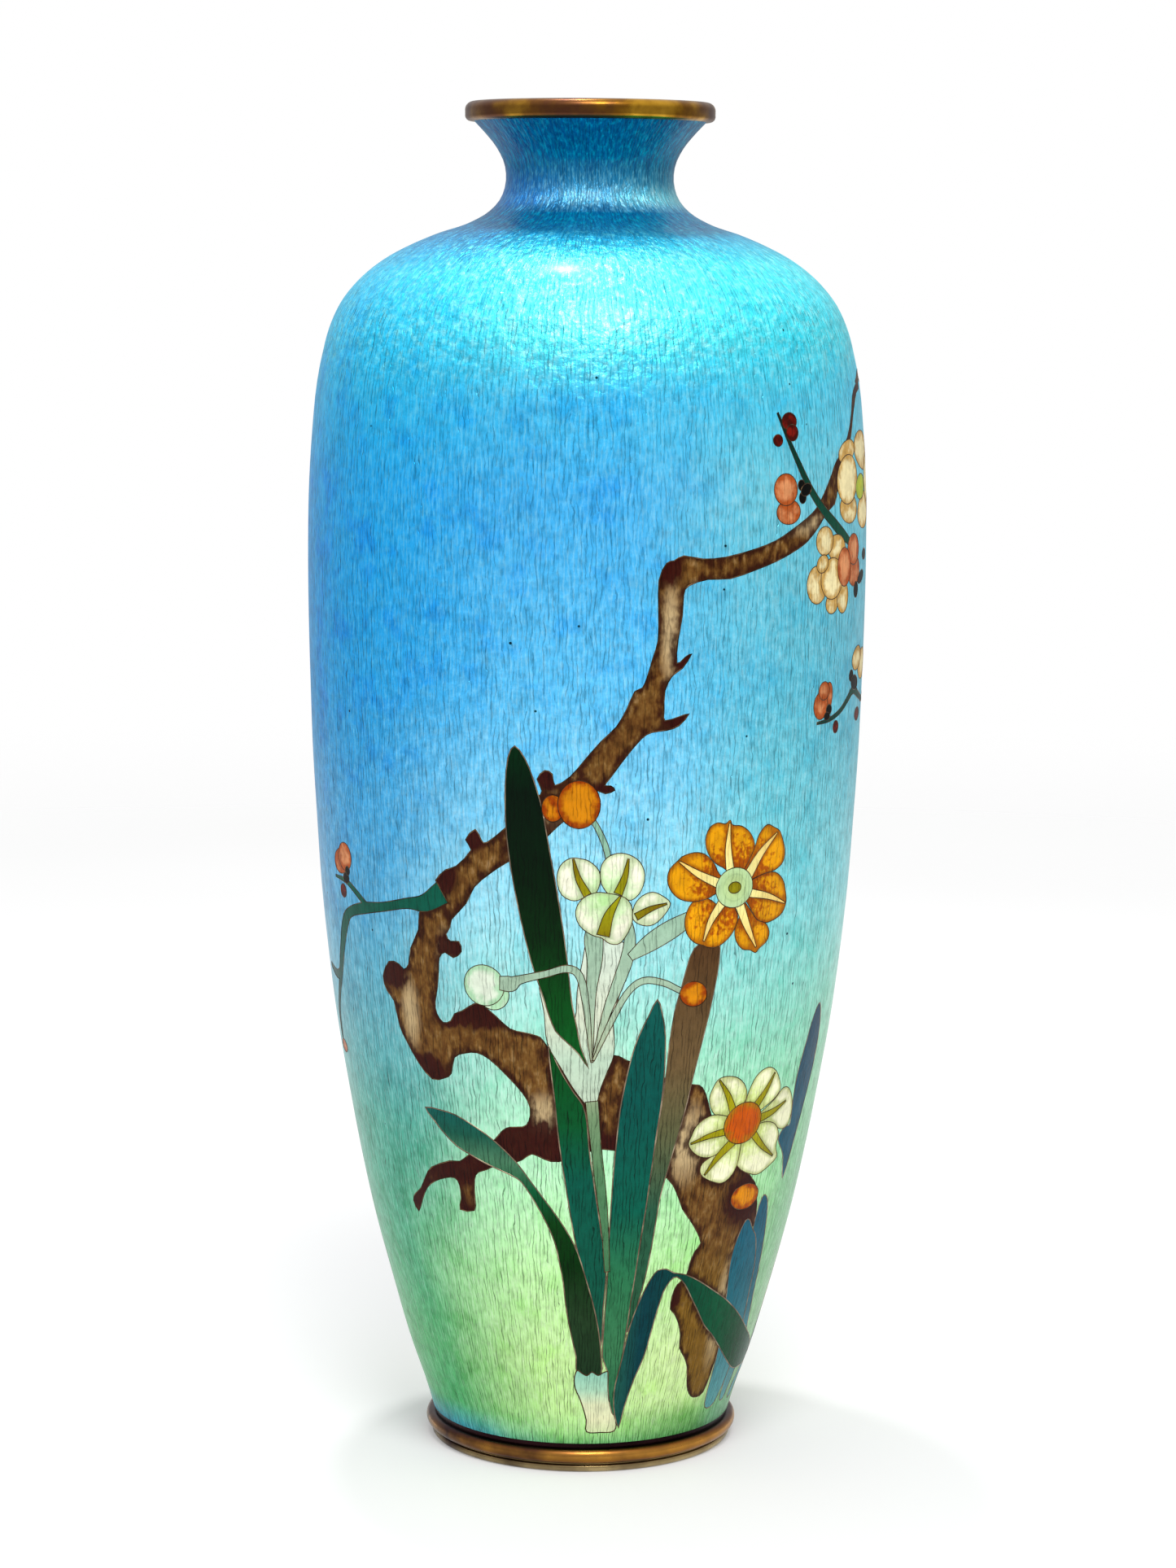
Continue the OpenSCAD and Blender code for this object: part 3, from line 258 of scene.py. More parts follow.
LOWER_TWIG = [
    [54, 133.9, 0.4], [59, 134.2, 0.7], [64, 135.3, 0.9], [68, 137, 1.1], [72, 138.4, 1.6],
    [77, 137, 1.2], [84, 135.8, 1.1], [92, 137.5, 0.8], [98, 141, 0.4]
]
BACK_TWIG = [[121, 183, 1.4], [127, 177, 1.2], [136, 172, 1.0], [145, 165, 0.5]]
BACK_LOW_TWIG = [[112, 167.5, 1.2], [106, 160, 1.1], [104, 152, 0.9], [98, 146, 0.4]]

# Narcissus leaves
TALL_LEAF = [
    [-14, 132], [-15.4, 130], [-16, 125], [-16, 119], [-15.5, 114], [-14.5, 108.5], [-13, 102], [-11, 95],
    [-9, 90], [-7.5, 86], [-6, 83], [-3.5, 81], [-1, 79], [1.2, 76.5], [-0.5, 80], [-1.5, 84], [-2.5, 88],
    [-3.3, 94], [-4.2, 100], [-5.5, 107], [-6.8, 113], [-8, 119], [-9, 123], [-10.5, 127], [-12, 130]
]
LOWER_BLADE = [
    [-7.6, 80.6], [-7, 75], [-6.3, 70], [-5.8, 65], [-5, 60], [-4, 55], [-3, 50], [-1.5, 44], [1, 37],
    [3, 30], [5, 23], [6.2, 26], [6.2, 32], [6.6, 38], [6, 42], [5, 46], [3.6, 52], [2.5, 57], [1.5, 62],
    [1, 66.5], [0, 69.8], [-2, 72], [-4.2, 74.8], [-6, 77.6]
]
CENTRE_LEAF = [
    [15.8, 88.4], [14, 85.5], [12, 82], [10.5, 78], [9.3, 73], [8.5, 69], [8, 64], [7.5, 58], [7.2, 52],
    [7, 46], [7, 40], [6.8, 34], [6.6, 28], [6.6, 22.5], [8.6, 19.5], [8.9, 16.5], [10, 13], [12, 10.6],
    [12.4, 16], [12.8, 22], [13.5, 28], [14, 33], [14.6, 38], [15.3, 45], [16, 50], [16.5, 55], [17, 60],
    [17.5, 65], [18.1, 70], [18.3, 76], [18, 82], [17, 86]
]
BROWN_LEAF = [
    [27.5, 99], [23.5, 97], [22, 93.5], [21, 90], [19.8, 86], [19, 80], [18.8, 76], [18, 68], [17, 60],
    [16, 50], [15, 42], [14, 34], [13.2, 27], [14.8, 29], [16, 32], [17, 35.5], [18, 40], [18.8, 46],
    [19.5, 52], [20.5, 56], [22, 61], [23.5, 66], [24.5, 70], [25.3, 74], [26.5, 79], [28, 85], [29, 90],
    [29.6, 94], [29.4, 98]
]
CURVED_LEAF = [
    [-39.6, 67], [-37.5, 65], [-35, 63], [-31.5, 60.8], [-28, 59.6], [-24, 58.3], [-20, 57.2], [-16, 56],
    [-14, 54.5], [-11.5, 51.5], [-9, 48], [-7, 44.5], [-6, 41], [-5, 37], [-4.5, 33], [-3.6, 29],
    [-2.5, 25.5], [-1.5, 22.5], [-0.8, 18.5], [6, 18.5], [6.2, 22.5], [5, 28], [3, 33.5], [1, 38],
    [-1, 42.5], [-3, 45.5], [-6, 49], [-10, 53], [-13, 56], [-16, 59], [-20, 61.8], [-23, 63.5],
    [-27, 65.2], [-31, 66.5], [-35, 67]
]
FOLDED_LEAF = [
    [13.9, 8.2], [12, 11], [11.2, 14], [11.3, 17], [12.5, 21], [13.5, 25], [14.5, 28.5], [16, 32],
    [18, 35.5], [19.5, 37.5], [21, 38.7], [23.5, 38.8], [26, 37.9], [30, 37.2], [35, 35.5], [40, 33.5],
    [46, 31.2], [50, 29.5], [55, 27.3], [60, 25], [66, 22.4], [72, 20.3], [78, 18], [84, 14.5],
    [78, 14.4], [72, 14.6], [66, 15], [62, 15.8], [58, 17.2], [53, 19.5], [48, 22.2], [44, 24.5],
    [40, 26.6], [36, 30], [33, 32.6], [30, 35.4], [27, 37.1], [25, 36.3], [23.5, 34.5], [22.5, 31.5],
    [21.5, 28], [20.5, 24], [19, 20.5], [17.5, 18], [16, 14.5], [15, 11.5]
]
BLUE_UPPER = [
    [67, 83], [65, 82], [63, 79], [61, 74], [60, 70], [60.2, 66], [60.8, 62], [59, 61.6], [57, 61],
    [56, 59.5], [58.5, 57.5], [60.5, 55.5], [62.6, 51.5], [64, 54], [66, 60], [68, 66], [69.5, 72],
    [69.6, 77], [68.6, 81]
]
BLUE_LOWER = [
    [47.5, 45], [49.5, 45.6], [52, 43.5], [54.2, 42], [56, 39.5], [58, 35.5], [59, 31], [60.5, 25],
    [61, 18], [60, 12], [57, 9], [52, 9.2], [50.3, 13], [49.6, 19], [48.5, 26], [46.8, 32], [45.4, 37],
    [45.5, 41]
]
BLUE_PALE = [
    [54, 49.5], [52.4, 46.5], [52.6, 42], [56, 34], [58, 25], [60, 15], [62, 9.5], [66, 10], [67, 16],
    [65.5, 22], [63, 29], [61, 36], [58.8, 43], [56.8, 48]
]
BACK_LEAF = [
    [92, 60], [89.5, 55], [88, 48], [86, 38], [82, 28], [76, 18], [70, 9.4], [76, 9.4], [82, 16],
    [88, 26], [92, 38], [93.5, 48], [93.5, 55]
]
SHEATH = [
    [-1.2, 19.9], [0.5, 19.3], [2, 18.9], [3.5, 19.6], [5.5, 18.9], [7, 19.4], [9, 19.2], [9.5, 14],
    [12.6, 9.8], [12.4, 7.6], [7.5, 7.4], [2.2, 7.6], [2, 10], [0, 13.8], [-1.8, 16.3], [-2.1, 18.3]
]
SPATHE = [
    [-9.2, 91.5], [-8.4, 86], [-7.8, 80.8], [-5, 76.6], [-2, 72.6], [0.6, 70], [1.7, 69.6], [3, 70],
    [4, 73], [5.4, 76], [6.6, 78.6], [6.7, 82], [6.4, 86], [8.2, 91], [9.6, 96], [8.6, 98.4], [5.6, 99],
    [3, 99.4], [0.6, 98.8], [-0.4, 95], [-1.4, 90], [-1.8, 85.5], [-4, 88]
]

# Flower stems, each a route with its width
STEMS = [
    [[2, 70.5, 2.2], [3.2, 62, 1.8], [4.6, 54, 1.7], [6, 46, 1.2], [6.8, 39, 0.9]],
    [[2.8, 102.5, 2.4], [2, 99.4, 3.2], [2.2, 95.5, 2.6], [1.6, 90, 1.7], [1.6, 84, 1.1],
     [1.9, 77.5, 0.4]],
    [[8.4, 103, 1.4], [9.4, 100, 1.8], [9, 96, 2.2], [7, 91, 2.0], [4.8, 86, 1.4],
     [2.1, 77.8, 0.4]],
    [[24.5, 102.8, 2.6], [21.5, 102, 2.8], [17.5, 100.3, 3.4], [13.5, 98.3, 3.0],
     [9.6, 96, 1.4]],
    [[23, 89.4, 1.0], [20.8, 89.8, 1.0], [17, 91.3, 1.1], [12.5, 91.8, 1.2],
     [9, 89.5, 1.1], [5.5, 84, 1.0], [2.2, 77.9, 0.4]],
    [[0.6, 120.6, 0.9], [2.3, 118.6, 0.9], [4, 115.5, 1.0], [4.8, 113, 1.0]]
]
WHITE_BUD_STEM = [
    [-18, 91, 2.4], [-15.5, 91, 2.7], [-13.5, 91.8, 1.5], [-8, 93, 1.2], [-3.5, 94, 1.3],
    [-0.8, 92.6, 1.3], [0.6, 87, 1.1], [1.8, 77.8, 0.4]
]

# Orange narcissus: petals round a cup, each split by a ray
ORANGE_PETALS = [
    [[30.2, 110.2], [27.5, 111.6], [25.6, 113.6], [25, 115.8], [25.8, 117.8],
     [27.6, 118.6], [29.4, 118.3], [30.5, 118.9], [31.2, 118], [33.4, 117.7],
     [35.6, 116.4], [36.9, 114.4], [36.6, 112.4], [34.8, 110.4]],
    [[34.8, 110.4], [36.8, 113.4], [38, 116], [40, 117.5], [42, 116.9],
     [43.6, 116.2], [44.6, 114.8], [45.6, 112.6], [45.2, 110.6], [43, 109.4],
     [40, 109], [36.8, 108.3]],
    [[36.8, 108.2], [40, 109], [43, 109], [45.4, 107.6], [46.5, 105.6],
     [47, 103.4], [46, 101.6], [43.6, 100.6], [41, 100.3], [38.8, 101],
     [37, 102.8], [35.6, 104.4]],
    [[34.6, 103.8], [33.8, 101.6], [33, 99.6], [33.6, 97.6], [35.4, 96.1],
     [37.4, 95.8], [39, 95.2], [40, 95.9], [42, 97], [42.5, 98.6], [41.2, 100.2],
     [38.8, 101], [37, 102.6]],
    [[29, 104.4], [26, 105.6], [22.6, 105.1], [21.1, 102.4], [21.6, 99.8],
     [23.4, 98.1], [25.4, 97.5], [27, 97], [29.2, 97.1], [31.5, 98.3],
     [33, 100], [33.6, 102], [32.6, 103.8]],
    [[28.2, 106.4], [26, 105.6], [23, 105.2], [20, 105.7], [18, 107.1],
     [17, 109], [17.4, 111], [19.2, 112.5], [20.2, 113.2], [22.6, 113.7],
     [25, 113.3], [27.2, 111.6], [28.6, 109.6]]
]
ORANGE_CENTRE = [32.4, 107.1]
ORANGE_RAYS = [
    ray([31.2, 109.6], [30.5, 118.4], 1.7, 0.4), ray([35.6, 109], [43, 115.9], 1.9, 0.5),
    ray([36.4, 105.9], [46.6, 103.3], 1.5, 0.3), ray([33.6, 104.4], [39, 96.2], 1.9, -0.2),
    ray([29.6, 104.8], [25.6, 98.2], 1.7, -0.5), ray([28.6, 108], [19.4, 112.3], 1.7, 0.3)
]

# White spray above the spathe
WHITE_PETALS = [
    [[0.4, 106.6], [-2, 105.8], [-4.6, 106.8], [-5.6, 109.4], [-4.9, 111.8],
     [-3, 113.1], [-1, 113.1], [1, 112.6], [2.9, 111], [3.1, 108.8], [2, 106.8]],
    [[7, 106.5], [9.6, 105.9], [11.6, 107.6], [12.2, 110.2], [11.2, 112.4],
     [9, 113.7], [6.6, 114], [4.4, 113.2], [3.2, 111.4], [3.4, 108.8], [5, 106.9]],
    [[3.6, 99.4], [1.4, 100], [-1, 101.6], [-1.8, 104], [-0.4, 106.2],
     [2.4, 107.3], [5, 107.1], [6.8, 106.8], [8.8, 106], [9.9, 104], [9.6, 101.4],
     [7.6, 98.6], [5.4, 98.4]],
    [[10, 102.6], [10.2, 105], [11.8, 106.6], [14, 107.2], [16.2, 106.4],
     [17.8, 105.1], [16.6, 103.2], [14.4, 101.6], [12, 101.5]]
]
WHITE_RAYS = [
    ray([0.6, 106.8], [-2.3, 113], 1.4, 0.4), ray([6.8, 107], [8.8, 113], 1.5, -0.3),
    ray([3.9, 99.8], [7.3, 106.6], 2.2, 0.5), ray([10.6, 103], [17, 105.1], 1.3, 0.3)
]

# White narcissus low on the right
LOW_PETALS = [
    [[34, 66], [31.4, 67.4], [30.2, 69.8], [31, 72], [32.4, 73.3], [35, 73.5],
     [38, 72.8], [40.4, 71], [41, 68.8], [39, 66]],
    [[40.6, 67], [42, 71], [44, 73.1], [47, 73.9], [49.6, 73.2], [51.6, 71.6],
     [53, 69.3], [51, 67.6], [46, 66]],
    [[46, 65.5], [51.4, 67.6], [54, 69.2], [56.6, 69], [59, 67.2], [60.4, 64.6],
     [60, 62.3], [58, 61.4], [55.2, 61.7], [52.6, 62.9], [46, 63.4]],
    [[44, 61], [46, 63.4], [50, 63.6], [53.6, 62.6], [55.7, 60.6], [55.4, 58.4],
     [56.8, 56.2], [52.4, 54.6], [49, 54], [45, 54.8], [42, 56], [40.4, 57.6],
     [40.6, 60]],
    [[40.8, 62], [36, 60.2], [32.4, 59], [30.2, 58], [29.8, 56.6], [31, 55.4],
     [34, 54.3], [37, 53.8], [39.4, 54.7], [41, 56.6], [41.4, 60]],
    [[38, 65.6], [33, 66.7], [30, 66.4], [27.5, 65.1], [26.3, 63.2], [25.8, 61.9],
     [27, 60.5], [29.4, 59.3], [32.4, 59], [35.4, 59.9], [39, 62]]
]
LOW_CENTRE = [41.2, 64.4]
LOW_RAYS = [
    ray([37.6, 66.6], [32.4, 73], 1.5, -0.3), ray([44.4, 67], [49.8, 72.6], 1.6, -0.3),
    ray([46.2, 64.6], [56.4, 66.6], 1.6, -0.3), ray([44.6, 62.4], [54.6, 56.8], 1.5, -0.4),
    ray([39.2, 61.6], [31.2, 55.8], 1.8, -0.4), ray([36.6, 63.4], [26.4, 61.9], 1.4, -0.3)
]

# Plum blossom, each petal [centre, half-widths, tilt]
BLOSSOM_PETALS = [
    [[66, 180.2], [4, 1.9], 12], [[78, 180], [6.6, 3.4], -8], [[66.2, 170.4], [4.2, 2.6], -5],
    [[78, 169.6], [5.6, 3.2], 5], [[84, 174.8], [4.6, 4.2], 0], [[66, 175.4], [5, 4.2], 15],
    [[58.3, 154.4], [2.2, 1.8], 0], [[63.2, 155.2], [2.4, 2.8], 0], [[60.2, 163.8], [3.4, 2.4], -8],
    [[55.2, 165.3], [2.8, 2.5], 0], [[52.5, 157.9], [3, 3.3], 10], [[58.3, 158.7], [3.9, 3.6], 0],
    [[54.4, 161.4], [1.9, 1.5], 20], [[80, 142.4], [4.4, 2.8], 0], [[74, 143.8], [3.4, 2.1], 8],
    [[98, 180], [3.4, 3], 0], [[103, 176.5], [3.2, 3], 0], [[100.6, 171], [3.2, 3], 0],
    [[94.4, 170.8], [3.2, 3], 0], [[92.4, 176.2], [3.2, 3], 0], [[131, 194.5], [3.2, 2.8], 20],
    [[136.4, 191.6], [3.2, 2.8], -30], [[127.4, 190.8], [2.8, 2.6], 0], [[144, 169], [3, 2.6], 10],
    [[149, 165.6], [3, 2.6], -20], [[144, 163.4], [2.6, 2.6], 0]
]
BLOSSOM_HEARTS = [[[74.6, 173.8], [3.4, 2.2], 8], [[97.8, 175], [2, 1.9], 0]]
PLUM_BUDS = [
    [[43.5, 170.7], [2.9, 2.1], 0], [[42.8, 174.5], [2.8, 2.7], 0], [[69.6, 159.4], [3.4, 2.7], 0],
    [[69, 163.2], [3.2, 2.7], -10], [[63.8, 160.4], [2.9, 3.4], 10], [[58, 138], [1.6, 2.8], -10],
    [[55.3, 136.9], [2.3, 2.4], 0], [[56.4, 139.4], [1.8, 1.6], 0], [[-63, 108.3], [2.9, 2.2], 10],
    [[-61, 109.3], [2.5, 2.5], 0], [[-76, 73.3], [2.2, 1.2], 0], [[141, 145.4], [2, 2.6], 20],
    [[97, 144.2], [2.2, 2.6], -20], [[161.4, 171.6], [2, 2.6], 20]
]
CALYXES = [
    [[47.3, 175.1], [0.9, 0.9], 0], [[47.6, 173], [0.9, 1], 0], [[48.8, 174.3], [1.5, 1], 20],
    [[58.6, 136], [1, 0.9], 0], [[57.9, 134.9], [1, 0.7], 0], [[-60.8, 105.6], [1.1, 1], 0],
    [[-60, 106.9], [0.8, 0.8], 0], [[69.8, 141], [1.2, 1], 0], [[72.6, 139.6], [2.4, 1.3], -10],
    [[71, 156], [1.3, 1.4], 0], [[75, 158], [2.4, 1], 15], [[78.4, 161.8], [1.9, 1], 0],
    [[139.6, 147.4], [0.9, 0.9], 0], [[98.4, 146.4], [0.9, 0.9], 0]
]
BERRIES = [
    [[41, 182.8], [1.1, 1], 0], [[44.4, 185.9], [1.8, 1.5], 0], [[45.1, 184], [1.5, 1.4], 0],
    [[62, 132.7], [1.1, 1.1], 0], [[76.4, 133.7], [2.2, 1.2], 0], [[-62.6, 103.1], [1.2, 1.2], 0],
    [[129, 172.6], [1.2, 1.2], 0], [[131.4, 170.4], [1.2, 1.2], 0]
]
ORANGE_BUDS = [
    [[-6.4, 121.6], [1.9, 2.3], 0], [[-1.2, 122.3], [3.6, 4.1], 0], [[24, 89], [2.6, 2.2], -15],
    [[46, 50.3], [3.6, 2.4], -5]
]
WHITE_BUD = [[[-19.6, 89], [2.9, 2.8], 0], [[-21.6, 90.4], [3.7, 3.6], 0]]

# Dark, charred stretches of the bark: [angle, height, half-width, half-height] in mm
DARK_BARK = [
    [-36, 48, 5, 6], [-30, 47, 3, 3], [16, 162, 2.6, 3.2], [19, 146.5, 2.0, 1.6], [18.5, 136, 3.0, 1.4],
    [-7.5, 127, 2.2, 2.4], [4.5, 125, 2.4, 1.4], [-23, 115.8, 2.4, 2.2], [-29.5, 108.5, 2.6, 2.6],
    [-29, 97, 3.4, 2.2], [-45.5, 90.5, 3.6, 2.8], [-38, 74.5, 5.0, 2.6], [-23.5, 85, 6.5, 2.6],
    [-30, 84.5, 3.4, 2.2], [-13, 63, 9.0, 4.4], [0, 62, 9.0, 3.6], [11, 61.5, 6.0, 2.6],
    [-25, 59, 5.0, 3.0], [-33, 56.5, 7.0, 3.2], [-44, 51, 6.0, 3.4], [46, 50, 5.4, 5.4],
    [29, 41.5, 2.0, 4.6], [27, 33, 1.6, 3.0], [76, 190.5, 4.0, 1.2]
]
# Pale, pinkish stretches of the bark
PALE_BARK = [
    [25, 62, 3.4, 6.0], [16.5, 151, 1.4, 7.0], [0, 120, 6.0, 3.0], [-30, 92, 1.6, 6.0],
    [-41, 84, 1.6, 5.0], [46, 29, 1.8, 9.0], [-8, 68, 4.0, 3.0], [50, 168.5, 6.0, 1.4]
]

# --- Cells -----------------------------------------------------------------------

def cell(node, wires, outlines, centre=None, reach=1.0, wire=WIRE):
    """One cell of enamel. It covers the cells listed before it."""
    return {"node": node, "wires": wires, "outlines": outlines,
            "centre": centre, "reach": reach, "wire": wire}


def cells(node, wires, outlines, **facts):
    return [cell(node, wires, [o], **facts) for o in outlines]


def oval_cells(node, wires, ovals):
    """Oval cells, each shaded out from its own centre."""
    return [
        cell(node, wires, [oval(c, r, tilt)], centre=c, reach=max(r), wire=FINE_WIRE)
        for c, r, tilt in ovals
    ]


def flower(node, wires, petals, centre, reach):
    return cells(node, wires, petals, centre=centre, reach=reach, wire=FINE_WIRE)


WHITE_CENTRE = [4.6, 106.6]
TWIGS = [LEFT_TWIG, LEFT_SIDE_TWIG, LEFT_STUB, UPPER_TWIG, LOWER_TWIG, BACK_TWIG,
         BACK_LOW_TWIG]

CELLS = (
    [cell("plum_branch", "branch_wires",
          [smooth(UPPER_LIMB, 2), smooth(CROOK, 2), smooth(LOW_TWIG, 2),
           smooth(TRUNK, 2), strip(BACK_LIMB), strip(BACK_FORK)])]
    + cells("blue_leaves", "leaf_wires",
            [smooth(p) for p in (BLUE_PALE, BLUE_LOWER, BLUE_UPPER, BACK_LEAF)])
    + cells("brown_leaf", "leaf_wires", [smooth(BROWN_LEAF, 2)])
    + cells("lower_blade", "leaf_wires", [smooth(LOWER_BLADE, 2)])
    + cells("curved_leaf", "leaf_wires", [smooth(CURVED_LEAF, 2)])
    + cells("bulb_sheath", "sheath_wires", [smooth(SHEATH)])
    + cells("centre_leaf", "leaf_wires", [smooth(CENTRE_LEAF, 2)])
    + cells("folded_leaf", "leaf_wires", [smooth(FOLDED_LEAF, 2)])
    + cells("spathe", "sheath_wires", [smooth(SPATHE)], wire=FINE_WIRE)
    + cells("tall_leaf", "leaf_wires", [smooth(TALL_LEAF, 2)])
    + oval_cells("white_bud", "bud_wires", WHITE_BUD)
    + cells("flower_stems", "stem_wires",
            [strip(s) for s in STEMS + [WHITE_BUD_STEM]], wire=FINE_WIRE)
    + flower("white_petals", "white_flower_wires",
             [smooth(p) for p in WHITE_PETALS], WHITE_CENTRE, 8.2)
    + flower("white_rays", "white_flower_wires", WHITE_RAYS, WHITE_CENTRE, 8.2)
    + flower("orange_petals", "orange_flower_wires",
             [smooth(p + [ORANGE_CENTRE]) for p in ORANGE_PETALS], ORANGE_CENTRE, 12.4)
    + flower("orange_rays", "orange_flower_wires", ORANGE_RAYS, ORANGE_CENTRE, 12.4)
    + flower("orange_cup", "orange_flower_wires",
             [oval(ORANGE_CENTRE, [3.8, 3.5])], ORANGE_CENTRE, 3.8)
    + flower("orange_stigma", "orange_flower_wires",
             [oval(ORANGE_CENTRE, [1.3, 1.0])], ORANGE_CENTRE, 1.3)
    + oval_cells("orange_buds", "bud_wires", ORANGE_BUDS)
    + flower("low_petals", "low_flower_wires",
             [smooth(p + [LOW_CENTRE]) for p in LOW_PETALS], LOW_CENTRE, 12.4)
    + flower("low_rays", "low_flower_wires", LOW_RAYS, LOW_CENTRE, 12.4)
    + flower("low_cup", "low_flower_wires",
             [oval(LOW_CENTRE, [4.4, 3.8])], LOW_CENTRE, 4.4)
    + [cell("green_twigs", "twig_wires", [strip(t) for t in TWIGS], wire=FINE_WIRE)]
    + oval_cells("blossom_petals", "blossom_wires", BLOSSOM_PETALS)
    + oval_cells("blossom_hearts", "blossom_wires", BLOSSOM_HEARTS)
    + oval_cells("plum_buds", "bud_wires", PLUM_BUDS)
    + oval_cells("bud_calyxes", "bud_wires", CALYXES)
    + oval_cells("berries", "berry_wires", BERRIES)
)
GROUND = -1

# --- The flat drawing --------------------------------------------------------------
# Flat places are in mm: across is the angle at the belly's scale, and up is the
# length along the meridian.

ACROSS = max(r for _, r in PROFILE) * math.pi / 180
FULL_WIDTH = 360 * ACROSS
FULL_LENGTH = float(ALONG[-1])
COARSE = 2.9  # spacing of points in the plain ground
FINE = 1.15  # spacing of points inside the motifs
CLEAR = 0.55  # least distance of such a point from an outline
MERGE = 1e-4  # points closer than this become one
NEAR = 1e-3  # places closer than this are the same place
TINY = 1e-12  # keeps a division away from zero
SHOULDER = float(length_at(198))  # above it the wall bends sharply
NECK_ROWS = 48  # rows of points from there to the rim


def to_flat(outline):
    return np.c_[outline[:, 0] * ACROSS, length_at(outline[:, 1])]


def winding(points, loop):
    """True for each point that the loop winds round."""
    x, y = points[:, 0:1], points[:, 1:2]
    a, b = loop, np.roll(loop, -1, 0)
    side = (b[:, 0] - a[:, 0]) * (y - a[:, 1]) - (x - a[:, 0]) * (b[:, 1] - a[:, 1])
    rising = (a[:, 1] <= y) & (b[:, 1] > y) & (side > 0)
    falling = (a[:, 1] > y) & (b[:, 1] <= y) & (side < 0)
    return (rising.sum(1) - falling.sum(1)) != 0


def distance(points, a, b):
    """Distance of each point from the nearest of the segments from a to b."""
    d = b - a
    t = ((points[:, None] - a) * d).sum(2) / np.maximum((d * d).sum(1), TINY)
    near = a + np.clip(t, 0, 1)[:, :, None] * d
    return np.sqrt(((points[:, None] - near) ** 2).sum(2)).min(1)


def near_box(points, loop, reach):
    """Which points lie in the box round a loop, or within reach of it."""
    low, high = loop.min(0) - reach, loop.max(0) + reach
    return np.where(((points > low) & (points < high)).all(1))[0]


def grid(spacing, staggered):
    """Points over the whole wall, the edges included, about spacing mm apart."""
    columns = round(FULL_WIDTH / spacing)
    rows = np.r_[np.arange(0, SHOULDER - spacing / 2, spacing),
                 np.linspace(SHOULDER, FULL_LENGTH, NECK_ROWS)]
    points = []
    for j, row in enumerate(rows):
        shift = 0.5 if staggered and j % 2 else 0
        for i in range(columns + 1):
            x = min(i + shift, columns) if i else 0
            points.append([(x / columns - 0.5) * FULL_WIDTH, row])
    return np.array(points)


def free_points(loops):
    """Points in the ground and inside the motifs, none of them close to an outline."""
    coarse, fine = grid(COARSE, False), grid(FINE, True)
    keep = np.ones(len(coarse), bool)
    inside = np.zeros(len(fine), bool)
    clear = np.ones(len(fine), bool)
    for _, loop in loops:
        ends = np.roll(loop, -1, 0)
        k = near_box(coarse, loop, CLEAR)
        if len(k):
            keep[k] &= ~winding(coarse[k], loop) & (distance(coarse[k], loop, ends) > CLEAR)
        k = near_box(fine, loop, CLEAR)
        if len(k):
            inside[k] |= winding(fine[k], loop)
            clear[k] &= distance(fine[k], loop, ends) > CLEAR
    return [coarse[keep], fine[inside & clear]]


def triangulate():
    """Flat points, triangles, and the topmost cell of each triangle."""
    loops = [(i, to_flat(o)) for i, c in enumerate(CELLS) for o in c["outlines"]]
    points = free_points(loops)
    start = sum(map(len, points))
    edges = []
    for _, loop in loops:
        n = len(loop)
        edges += [(start + i, start + (i + 1) % n) for i in range(n)]
        points.append(loop)
        start += n
    flat = [Vector(p) for p in np.vstack(points).tolist()]
    made = delaunay_2d_cdt(flat, edges, [], 0, MERGE, False)
    verts = np.array([v[:] for v in made[0]])
    tris = np.array([f[:] for f in made[2]])
    middle = verts[tris].mean(1)
    top = np.full(len(tris), GROUND)
    for i, loop in loops:
        k = near_box(middle, loop, 0)
        if len(k):
            k = k[winding(middle[k], loop)]
            top[k] = np.maximum(top[k], i)
    return verts, tris, top


FLAT, TRIANGLES, TOP = triangulate()
# True mm across for one flat mm across, at each point
NARROW = radius_at(FLAT[:, 1]) * math.pi / 180 / ACROSS


def edge_owners():
    """For each directed edge of the triangulation, its triangle's cell."""
    owners = {}
    for (a, b, c), label in zip(TRIANGLES.tolist(), TOP.tolist()):
        owners[a, b] = owners[b, c] = owners[c, a] = label
    return owners


OWNERS = edge_owners()


def true_direction(i, j):
    """Direction from one point to another on the vase itself."""
    d = FLAT[j] - FLAT[i]
    d = np.array([d[0] * (NARROW[i] + NARROW[j]) / 2, d[1]])
    return d / max(np.hypot(*d), TINY)


def left_of(d):
    return np.array([-d[1], d[0]])


SHARPEST = 0.45  # a mitre reaches out no further than at this cosine
OPPOSED = 0.2  # normals whose sum is shorter than this cancel out


def mitre(normals):
    """The offset that stands 1 off every edge with these normals."""
    total = np.sum(normals, 0)
    size = np.hypot(*total)
    if size < OPPOSED:
        return np.zeros(2)
    total /= size
    return total / max(min(float(np.dot(total, n)) for n in normals), SHARPEST)


EASINGS = 5  # times that points are moved back where a triangle has turned over


